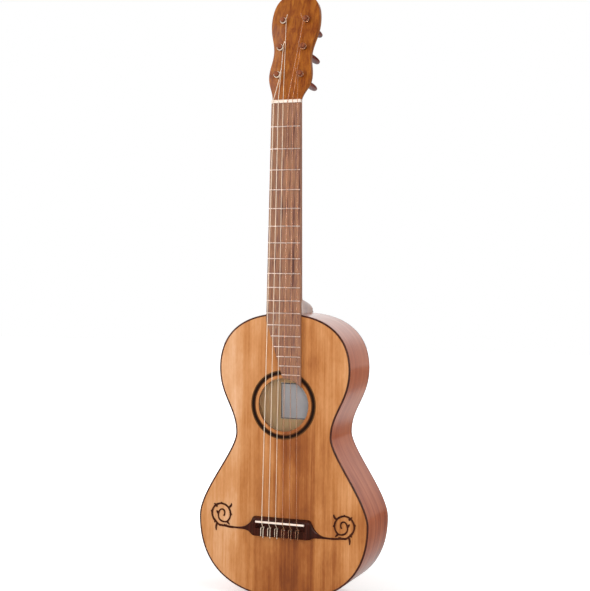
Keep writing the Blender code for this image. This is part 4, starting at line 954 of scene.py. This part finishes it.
def cut(piece, bars):
    """Drills round holes, each given as its start, end, radius and number of sides."""
    bm = bmesh.new()
    for start, end, radius, sides in bars:
        run = end - start
        turn = run.to_track_quat("Z", "Y").to_matrix().to_4x4()
        bmesh.ops.create_cone(bm, cap_ends=True, segments=sides, radius1=radius, radius2=radius,
                              depth=run.length, matrix=Matrix.Translation((start + end) / 2) @ turn)
    drill = close("drill", bm, None)
    step = piece.modifiers.new("holes", "BOOLEAN")
    step.solver = "EXACT"
    step.object = drill
    soften(settle(piece))
    bpy.data.objects.remove(drill)


lower, waist, upper = (0.0403, LOWER_LOBE_HALF), (0.0766, HEAD_WAIST_HALF), (0.1286, UPPER_LOBE_HALF)
crown = (HEAD_LENGTH, CROWN_HALF)
head_outline = (
    curve_points((0.0, nut_half), (0.0140, nut_half * 1.05), (0.0243, LOWER_LOBE_HALF), lower, 12)
    + curve_points(lower, (0.0547, LOWER_LOBE_HALF), (0.0611, HEAD_WAIST_HALF), waist, 10)
    + curve_points(waist, (0.0935, HEAD_WAIST_HALF), (0.1067, UPPER_LOBE_HALF), upper, 14)
    + curve_points(upper, (0.1611, UPPER_LOBE_HALF), (HEAD_LENGTH, UPPER_LOBE_HALF * 0.70), crown, 18)
    + [crown])
rings = []
for up, half in head_outline:
    share = min(1.0, up / THROAT_LENGTH)
    depth = between(NECK_DEPTH_AT_NUT, HEAD_THICKNESS, share)
    power = between(NECK_EDGE_POWER, HEAD_EDGE_POWER, share)
    lean = HEAD_TILT * share
    rings.append([(
        math.copysign(half * abs(cosine) ** power, cosine),
        up * math.sin(HEAD_TILT) + depth * sine ** power * math.cos(lean),
        HEAD_START + up * math.cos(HEAD_TILT) - depth * sine ** power * math.sin(lean))
        for cosine, sine in half_turn(28)])
# The neck's wood under a thinner lacquer, so that it looks duller.
head_wood = wood("lacquered_golden_mahogany_of_the_head", GOLDEN_TONES, 0.0050, 0.0010, 0.42, 0.15,
                 relief=0.05, shine=0.25)
head = bevelled(lofted("head", rings, head_wood), 0.0010, 55.0)
spots = [(side * PEG_COLUMN, up) for side in (-1.0, 1.0) for up in PEG_ROWS]
cut(head, [(head_point(x, up, 0.004), head_point(x, up, -HEAD_THICKNESS - 0.004),
            PEG_RADIUS + PEG_HOLE_PLAY, 32) for x, up in spots])
fit(head, "neck_wood", "headstock")


# Pegs
# Six violin-style pegs, turned and filed from dark rosewood and pushed in from the back: a round post
# with a string hole, a beaded collar, a slim neck and a flat thumb piece.

PEG_POST = 0.0100
PEG_TURN = math.radians(3.0)
PEG_SIDES = 32
STRING_HOLE_DEPTH = 0.0030
STRING_HOLE_RADIUS = 0.0010
COLLAR_LENGTH = 0.0045
SHANK_LENGTH = 0.014
THUMB_LENGTH = 0.030

back_of_head = -HEAD_THICKNESS - 0.0009
collar = back_of_head - COLLAR_LENGTH
shank = collar - SHANK_LENGTH
sections = [(PEG_POST - down, radius, radius) for down, radius in (
    (0.0, 0.0024), (0.0002, 0.0031), (0.0008, 0.0037), (0.0020, PEG_RADIUS))]
sections += [(back_of_head - down, radius, radius) for down, radius in (
    (-0.0002, PEG_RADIUS), (0.0, 0.0050), (0.0004, 0.0056), (0.0012, 0.0058), (0.0016, 0.0054),
    (0.0020, 0.0060), (0.0029, 0.0062), (0.0038, 0.0058), (COLLAR_LENGTH, 0.0050))]
sections += [(collar - down, wide, thin) for down, wide, thin in (
    (0.0012, 0.0040, 0.0038), (0.0040, 0.0033, 0.0032), (0.0115, 0.0033, 0.0030),
    (SHANK_LENGTH, 0.0036, 0.0032))]
sections += [(shank - THUMB_LENGTH * share, wide, thin) for share, wide, thin in (
    (0.08, 0.0046, 0.0034), (0.22, 0.0061, 0.0033), (0.36, 0.0071, 0.0032), (0.50, 0.0075, 0.0031),
    (0.64, 0.0074, 0.0030), (0.78, 0.0066, 0.0028), (0.88, 0.0053, 0.0025), (0.95, 0.0039, 0.0020),
    (0.985, 0.0026, 0.0015), (1.0, 0.0012, 0.0008))]
# Reddish dark brown, polished enough to show small highlights.
peg_rosewood = wood("turned_reddish_rosewood", ("#3E140C", "#5A241A", "#76362A", "#8A483C"), 0.0035, 0.0006,
                    0.28, 0.35, shine=0.35)
# In front of the head each peg is painted a paler, dull brown: painted light for the lit front of the head,
# which the thumbs behind it don't get.
front_rosewood_painted_lighter = wood("rosewood_painted_lighter_in_front", ("#6A3018", "#8C4A28", "#A45C36"), 0.003, 0.0006, 0.50, 0.0,
                     shine=0.3)
head_foot = head_point(0.0, 0.0, 0.0)
outwards = head_point(0.0, 0.0, 1.0) - head_foot
upwards = head_point(0.0, 1.0, 0.0) - head_foot
for side_name, side in (("bass", -1.0), ("treble", 1.0)):
    spin = -side * PEG_TURN
    for row, up in enumerate(PEG_ROWS, 1):
        rings = []
        for along, wide, thin in sections:
            ring = []
            for step in range(PEG_SIDES):
                x = wide * math.cos(math.tau * step / PEG_SIDES)
                y = thin * math.sin(math.tau * step / PEG_SIDES)
                across = x * math.cos(spin) - y * math.sin(spin)
                above = x * math.sin(spin) + y * math.cos(spin)
                ring.append(head_point(side * PEG_COLUMN + across, up + above, along))
            rings.append(ring)
        peg = soften(lofted(f"{side_name}_peg_{row}", rings, peg_rosewood), 50.0)
        peg.data.materials.append(front_rosewood_painted_lighter)
        # Faces in front of the head's face take the paler painted light.
        for face in peg.data.polygons:
            face.material_index = 1 if (face.center - head_foot).dot(outwards) > 0.0 else 0
        hole = head_point(side * PEG_COLUMN, up, PEG_POST - STRING_HOLE_DEPTH)
        cut(peg, [(hole - upwards * 0.01, hole + upwards * 0.01, STRING_HOLE_RADIUS, 16)])
        fit(peg, "peg_wood", f"peg_{side_name}_{row}", body=f"peg_{side_name}_{row}")


# Bridge
# Carved from one piece of dark rosewood: a block with a slot for the saddle, a trough and a tie block
# drilled for the strings, and on each side a wing that thins out like the end of a moustache.

BLOCK_HALF = 0.0430
END_HALF = 0.0500
TIP_HALF = 0.080
BRIDGE_TOP = 0.0072
BRIDGE_BOTTOM = -0.0228
BRIDGE_HEIGHT = 0.0085
END_HEIGHT = 0.0040
TIP_HEIGHT = 0.0011
TIP_WIDTH = 0.0026
TIP_DROP = 0.0156
TIP_SLANT = 0.0022
SADDLE_HALF = 0.0396
SADDLE_THICKNESS = 0.0030
SLOT_HALF = SADDLE_HALF + GLUE_LINE
SLOT_DEPTH = 0.0045
SLOT_PLAY = 0.00007
SLOT_SLOPE = 0.00001
TROUGH_HALF = 0.0405
TROUGH_FRONT = -0.0036
TROUGH_FLOOR = 0.0029
WALL_STEP = 0.0001
TIE_BLOCK_FRONT = -0.0100
TIE_HOLE_Y = -0.0046
TIE_HOLE_PLAY = 0.0003
SADDLE_SPREAD = 0.0570


def bridge_station(x):
    """Top edge, bottom edge and height of the bridge at a distance from the centre line."""
    out = abs(x)
    end_top = 0.0
    end_bottom = BRIDGE_BOTTOM + 0.0023
    tip_top = -TIP_DROP - math.copysign(TIP_SLANT, x) + TIP_WIDTH / 2
    if out <= BLOCK_HALF:
        return BRIDGE_TOP, BRIDGE_BOTTOM, BRIDGE_HEIGHT
    if out <= END_HALF:
        share = (out - BLOCK_HALF) / (END_HALF - BLOCK_HALF)
        ease = share * share * (3.0 - 2.0 * share)
        return (between(BRIDGE_TOP, end_top, share ** 3), between(BRIDGE_BOTTOM, end_bottom, share ** 3),
                between(BRIDGE_HEIGHT, END_HEIGHT, ease))
    left = 1.0 - (out - END_HALF) / (TIP_HALF - END_HALF)
    return (between(tip_top, end_top, left ** 3.4), between(tip_top - TIP_WIDTH, end_bottom, left ** 6),
            between(TIP_HEIGHT, END_HEIGHT, left ** 2.5))


def bridge_ring(x):
    """A section across the strings: rounded front, flat top with its slot and trough, rounded tie block."""
    top, bottom, height = bridge_station(x)
    width = top - bottom
    slot_floor = height - SLOT_DEPTH if abs(x) < SLOT_HALF else height
    trough_floor = TROUGH_FLOOR if abs(x) < TROUGH_HALF else height
    front, rear = [[(top - width * down, height * high) for down, high in edge] for edge in (
        ((0.0, 0.0), (0.012, 0.30), (0.035, 0.60), (0.070, 0.82), (0.115, 0.95), (0.17, 1.0)),
        ((0.90, 1.0), (0.945, 0.97), (0.975, 0.86), (0.99, 0.60), (1.0, 0.0)))]
    flat = [(top - width * share, height) for share in (0.19, 0.21, 0.29, 0.31, 0.36, 0.38, 0.57, 0.59)]
    if abs(x) <= BLOCK_HALF:
        slot = SADDLE_THICKNESS / 2 + SLOT_PLAY
        flat = [(slot + SLOT_SLOPE, height), (slot, slot_floor), (-slot, slot_floor),
                (-slot - SLOT_SLOPE, height), (TROUGH_FRONT, height),
                (TROUGH_FRONT - WALL_STEP, trough_floor), (TIE_BLOCK_FRONT + WALL_STEP, trough_floor),
                (TIE_BLOCK_FRONT, height)]
    return [(x, -GLUE_LINE / 3 - high, z - SCALE_LENGTH) for z, high in front + flat + rear]


half_stations = [0.0, SLOT_HALF - WALL_STEP, SLOT_HALF + WALL_STEP]
half_stations += [TROUGH_HALF - WALL_STEP, TROUGH_HALF + WALL_STEP, 0.0414, 0.0422, BLOCK_HALF]
half_stations += [between(BLOCK_HALF, END_HALF, share) for share in (0.2, 0.4, 0.6, 0.8, 1.0)]
half_stations += [between(END_HALF, TIP_HALF, share)
                  for share in (0.03, 0.07, 0.12, 0.18, 0.25, 0.33, 0.42, 0.52, 0.64, 0.76, 0.88, 0.97, 1.0)]
stations = [-x for x in reversed(half_stations[1:])] + half_stations
bridge = soften(lofted("bridge_block", [bridge_ring(x) for x in stations], polished_rosewood), 32.0)
cut(bridge, [(Vector((string_x(index, SADDLE_SPREAD), TIE_HOLE_Y, -SCALE_LENGTH - 0.0070)),
              Vector((string_x(index, SADDLE_SPREAD), TIE_HOLE_Y, -SCALE_LENGTH - 0.0245)),
              diameter / 2 + TIE_HOLE_PLAY, 20) for index, (name, diameter) in enumerate(STRINGS)])
fit(bridge, "bridge_wood", "bridge")


# Saddle
# A bar of polished bone that stands in the bridge's slot without glue, held by the strings' pull. It is
# rounded along its top, where they bend over it.

SADDLE_TOP = -0.0108
SADDLE_FOOT = -0.0043

edge = [(SADDLE_FOOT, SADDLE_THICKNESS / 2), (SADDLE_TOP + 0.0010, SADDLE_THICKNESS / 2),
        (SADDLE_TOP + 0.0004, 0.0012), (SADDLE_TOP + 0.0001, 0.0007)]
profile = edge + [(SADDLE_TOP, 0.0)] + [(y, -z) for y, z in reversed(edge)]
rings = [[(x, y, z - SCALE_LENGTH) for y, z in profile]
         for x in (-SADDLE_HALF, -SADDLE_HALF + 0.0004, SADDLE_HALF - 0.0004, SADDLE_HALF)]
saddle = lofted("saddle_bar", rings, polished_bone)
fit(soften(saddle, 40.0), "bone", "saddle")


# Scrolls
# Thin vines sawn from dark wood and glued to the soundboard, one beyond each wing of the bridge: a stem
# that curls into a spiral, with small hooked leaves.

SCROLL_X = 0.1012
SCROLL_RADIUS = 0.0156
SCROLL_HEIGHT = 0.0009
VINE_WIDTH = 0.0032
LEAF_GIRTHS = [0.9, 0.98, 1.0, 1.0, 0.97, 0.90, 0.78, 0.60, 0.34]


def vine_paths(side):
    """Stem with ring and inner curl, and the leaves, as runs of points with their girths."""
    rise = -side * TIP_SLANT
    centre = 0.0042 - SCALE_LENGTH + rise
    stem_z = rise - SCALE_LENGTH - TIP_DROP
    entry = math.radians(-50.0)
    turn_in = math.radians(226.0)

    def place(out, up):
        return SCROLL_X + SCROLL_RADIUS * out, centre + SCROLL_RADIUS * up

    def round_at(angle, reach=1.0):
        return reach * math.cos(angle), reach * math.sin(angle)

    def span(*spots, steps):
        return curve_points(*[place(*spot) for spot in spots], steps)

    lowest = place(0.03, -1.17)
    run = curve_points((TIP_HALF + GLUE_LINE, stem_z), (TIP_HALF + 0.008, stem_z),
                       (lowest[0] - 0.006, lowest[1]), lowest, 14)
    run += span((0.03, -1.17), (0.28, -1.17), (0.46, -0.94), round_at(entry), steps=10)
    run += [place(*round_at(between(entry, turn_in, step / 60))) for step in range(60)]
    run += span(round_at(turn_in), (-0.50, -0.90), (0.33, -0.86), (0.32, -0.16), steps=18)
    run += span((0.32, -0.16), (0.32, 0.13), (0.16, 0.44), (-0.08, 0.44), steps=12)
    run += span((-0.08, 0.44), (-0.40, 0.44), (-0.46, 0.0), (-0.27, -0.22), steps=14) + [place(-0.27, -0.22)]
    runs = [(run, [1.0 - 0.25 * k / (len(run) - 1) + 0.07 * math.sin(k * 0.55) for k in range(len(run))])]
    for hook in ((140.0, 0.97, 141.0, 1.34, 134.0, 1.54), (56.0, 0.78, 53.0, 1.03, 51.0, 1.25),
                 (92.0, 0.97, 91.0, 1.06, 89.0, 1.15), (12.0, 0.97, 10.0, 1.06, 7.0, 1.15),
                 (176.0, 0.97, 180.0, 1.06, 185.0, 1.15), (230.0, 0.90, 230.0, 1.14, 228.0, 1.40),
                 (-9.0, 0.33, 16.0, 0.44, 29.0, 0.58), (-66.0, 1.10, -68.0, 1.46, -73.0, 1.80),
                 (-50.0, 0.99, -52.0, 1.10, -53.5, 1.22), (-105.0, 1.14, -113.0, 1.24, -118.0, 1.16)):
        root, middle, tip = [place(*round_at(math.radians(turn), reach))
                             for turn, reach in zip(hook[0::2], hook[1::2])]
        pull = [2 * middle[k] - (root[k] + tip[k]) / 2 for k in range(2)]
        leaf = []
        for step in range(len(LEAF_GIRTHS)):
            done = step / (len(LEAF_GIRTHS) - 1)
            left = 1.0 - done
            leaf.append([left * left * root[k] + 2 * done * left * pull[k] + done * done * tip[k]
                         for k in range(2)])
        runs.append((leaf, LEAF_GIRTHS))
    y = -GLUE_LINE / 3 - SCROLL_HEIGHT / 2
    return [([(side * x, y, z) for x, z in points], girths, False) for points, girths in runs]


# Dark brown and dull, so that it reads as a drawn line on the soundboard.
vine_wood = wood("dark_stained_vine_wood", ("#2C1004", "#401A08", "#54260E"), 0.003, 0.0007, 0.48, 0.0,
                 shine=0.15)
for name, side in (("bass", -1.0), ("treble", 1.0)):
    vine = path_piece(f"{name}_vine", vine_paths(side), laid_strip, {
        "Width": VINE_WIDTH, "Height": SCROLL_HEIGHT, "Corner": 0.0003, "Material": vine_wood})
    fit(vine, "bridge_wood", f"{name}_scroll")


# Strings
# Three basses of silvered wire wound on a nylon core, and three trebles of clear nylon. Each is tied
# round itself on the bridge, runs over saddle and nut, and is wound twice on its peg.

WINDING_SPACING = 0.0008
KNOT_REACH = 0.0021
TURNS_ON_PEG = 2
STEPS_PER_TURN = 28
FIRST_TURN_OUT = 0.0022
TURN_GAP = 0.0008
WOUND_COUNT = 3


def drawn_wire_tree():
    """Sweeps a round wire along paths with eased corners, and keeps the distance along it for the pattern."""
    tree, given = new_tree("drawn_wire", (
        ("Radius", "NodeSocketFloat", 0.0005), ("Ease", "NodeSocketFloat", 0.001),
        ("Sides", "NodeSocketInt", 12)))
    line = add_node(tree, "GeometryNodeMeshToCurve", {0: given["Path"]})
    eased = add_node(tree, "GeometryNodeFilletCurve", {
        0: line, "Count": 3, "Radius": given["Ease"], "Limit Radius": True}, mode="POLY")
    far = add_node(tree, "GeometryNodeSplineParameter").outputs["Length"]
    marked = add_node(tree, "GeometryNodeStoreNamedAttribute", {
        "Geometry": eased, "Name": "along", "Value": far}, data_type="FLOAT", domain="POINT")
    section = add_node(tree, "GeometryNodeCurvePrimitiveCircle", {
        "Resolution": given["Sides"], "Radius": given["Radius"]})
    swept = add_node(tree, "GeometryNodeCurveToMesh", {
        "Curve": marked, "Profile Curve": section, "Fill Caps": True})
    return end_tree(tree, swept, given["Material"])


def tie_knot(x, radius):
    """From the short end over the tie block and through its hole up to the saddle."""
    block_top = -GLUE_LINE - BRIDGE_HEIGHT - GLUE_LINE - radius
    rear = -SCALE_LENGTH + BRIDGE_BOTTOM - GLUE_LINE - 2 * radius
    front = -SCALE_LENGTH + TIE_BLOCK_FRONT + GLUE_LINE + radius
    floor = -TROUGH_FLOOR - 2 * GLUE_LINE - radius
    reach = KNOT_REACH
    saddle_top = SADDLE_TOP - GLUE_LINE - radius
    return [
        (x - reach, block_top, rear + 0.0030), (x - reach, block_top - 0.0002, front - 0.0012),
        (x - reach, block_top + 0.0001, front + 0.0003), (x - reach, block_top + 0.0016, front + 0.0006),
        (x - reach * 0.8, floor - 0.0012, front + 0.0007), (x, floor, front + 0.0012),
        (x + reach * 0.8, floor - 0.0012, front + 0.0007), (x + reach, block_top + 0.0016, front + 0.0006),
        (x + reach, block_top + 0.0001, front + 0.0003),
        (x + reach * 0.95, block_top - 0.0002, front - 0.0012),
        (x + reach * 0.7, block_top, rear + 0.0030), (x + reach * 0.5, block_top + 0.0012, rear),
        (x + reach * 0.2, TIE_HOLE_Y - 0.0010, rear - 0.0002), (x, TIE_HOLE_Y, rear + 0.0006),
        (x, TIE_HOLE_Y, rear + 0.0040), (x, TIE_HOLE_Y, -SCALE_LENGTH - 0.0105),
        (x, saddle_top + 0.0008, -SCALE_LENGTH - 0.0022), (x, saddle_top, -SCALE_LENGTH)]


def peg_turns(index, radius):
    """The turns round the peg and the free end."""
    side = -1.0 if index < WOUND_COUNT else 1.0
    up = PEG_ROWS[(0, 1, 2, 2, 1, 0)[index]]
    ring = PEG_RADIUS + 1.3 * GLUE_LINE + radius
    pitch = 2 * radius + TURN_GAP
    first = FIRST_TURN_OUT + radius

    def spot(turn, reach, out):
        angle = turn if side < 0 else math.pi - turn
        return head_point(side * PEG_COLUMN + reach * math.cos(angle), up + reach * math.sin(angle), out)

    points = []
    for step in range(TURNS_ON_PEG * STEPS_PER_TURN + 1):
        share = step / STEPS_PER_TURN
        points.append(spot(math.tau * share, ring, first + pitch * share))
    for step in range(1, 9):
        turn = math.tau * TURNS_ON_PEG + 0.10 * step
        reach = ring + 0.0007 * (step / 2) ** 1.6
        points.append(spot(turn, reach, first + pitch * TURNS_ON_PEG + 0.00025 * step))
    return points


def wound_wire():
    """Bright silvery wire with ribs. Its turns are drawn 0.8 mm apart, as the real 0.2 mm don't show."""
    material = metal("silvered_copper_winding", "#FFEAD2", 0.42, (0.001, 0.001, 0.001), 0.35)
    tree = material.node_tree
    along = add_node(tree, "ShaderNodeAttribute", attribute_name="along").outputs["Fac"]
    turns = add_node(tree, "ShaderNodeMath", {0: along, 1: math.tau / WINDING_SPACING}, operation="MULTIPLY")
    wave = add_node(tree, "ShaderNodeMath", {0: turns}, operation="SINE")
    bump = add_node(tree, "ShaderNodeBump", {"Height": wave, "Strength": 0.35, "Distance": 0.0001})
    fill(tree, tree.nodes["Principled BSDF"], {"Normal": bump})
    return material


def clear_nylon():
    """Drawn nylon, clear and slightly milky, so that the wood behind it tints it."""
    material, tree, shader = new_material("clear_drawn_nylon")
    along = add_node(tree, "ShaderNodeAttribute", attribute_name="along").outputs["Fac"]
    milk = add_node(tree, "ShaderNodeTexNoise", {"W": along, "Scale": 60.0}, noise_dimensions="1D")
    ramp = coloured(add_node(tree, "ShaderNodeValToRGB", {0: milk}), ((0.0, "#F4B68A"), (1.0, "#F8CAA6")))
    fill(tree, shader, {"Base Color": ramp, "Transmission Weight": 0.70, "IOR": 1.53, "Roughness": 0.18})
    return material


drawn_wire = drawn_wire_tree()
winding = wound_wire()
nylon = clear_nylon()
for index, (name, diameter) in enumerate(STRINGS):
    radius = diameter / 2
    wound = index < WOUND_COUNT
    nut_x = string_x(index, NUT_SPREAD)
    run = tie_knot(string_x(index, SADDLE_SPREAD), radius)
    run += [(nut_x, NUT_STRING_Y - radius, 0.0), (nut_x, NUT_STRING_Y - radius, NUT_LENGTH * 0.6),
            (nut_x, NUT_STRING_Y - radius + 0.0003, NUT_LENGTH + 0.0006)]
    run += peg_turns(index, radius)
    wire = path_piece(name.replace("string", "wire"), [(run, [1.0] * len(run), False)], drawn_wire, {
        "Radius": radius, "Ease": 0.0012, "Sides": 12, "Material": winding if wound else nylon})
    fit(wire, "wound_string" if wound else "plain_string", name)
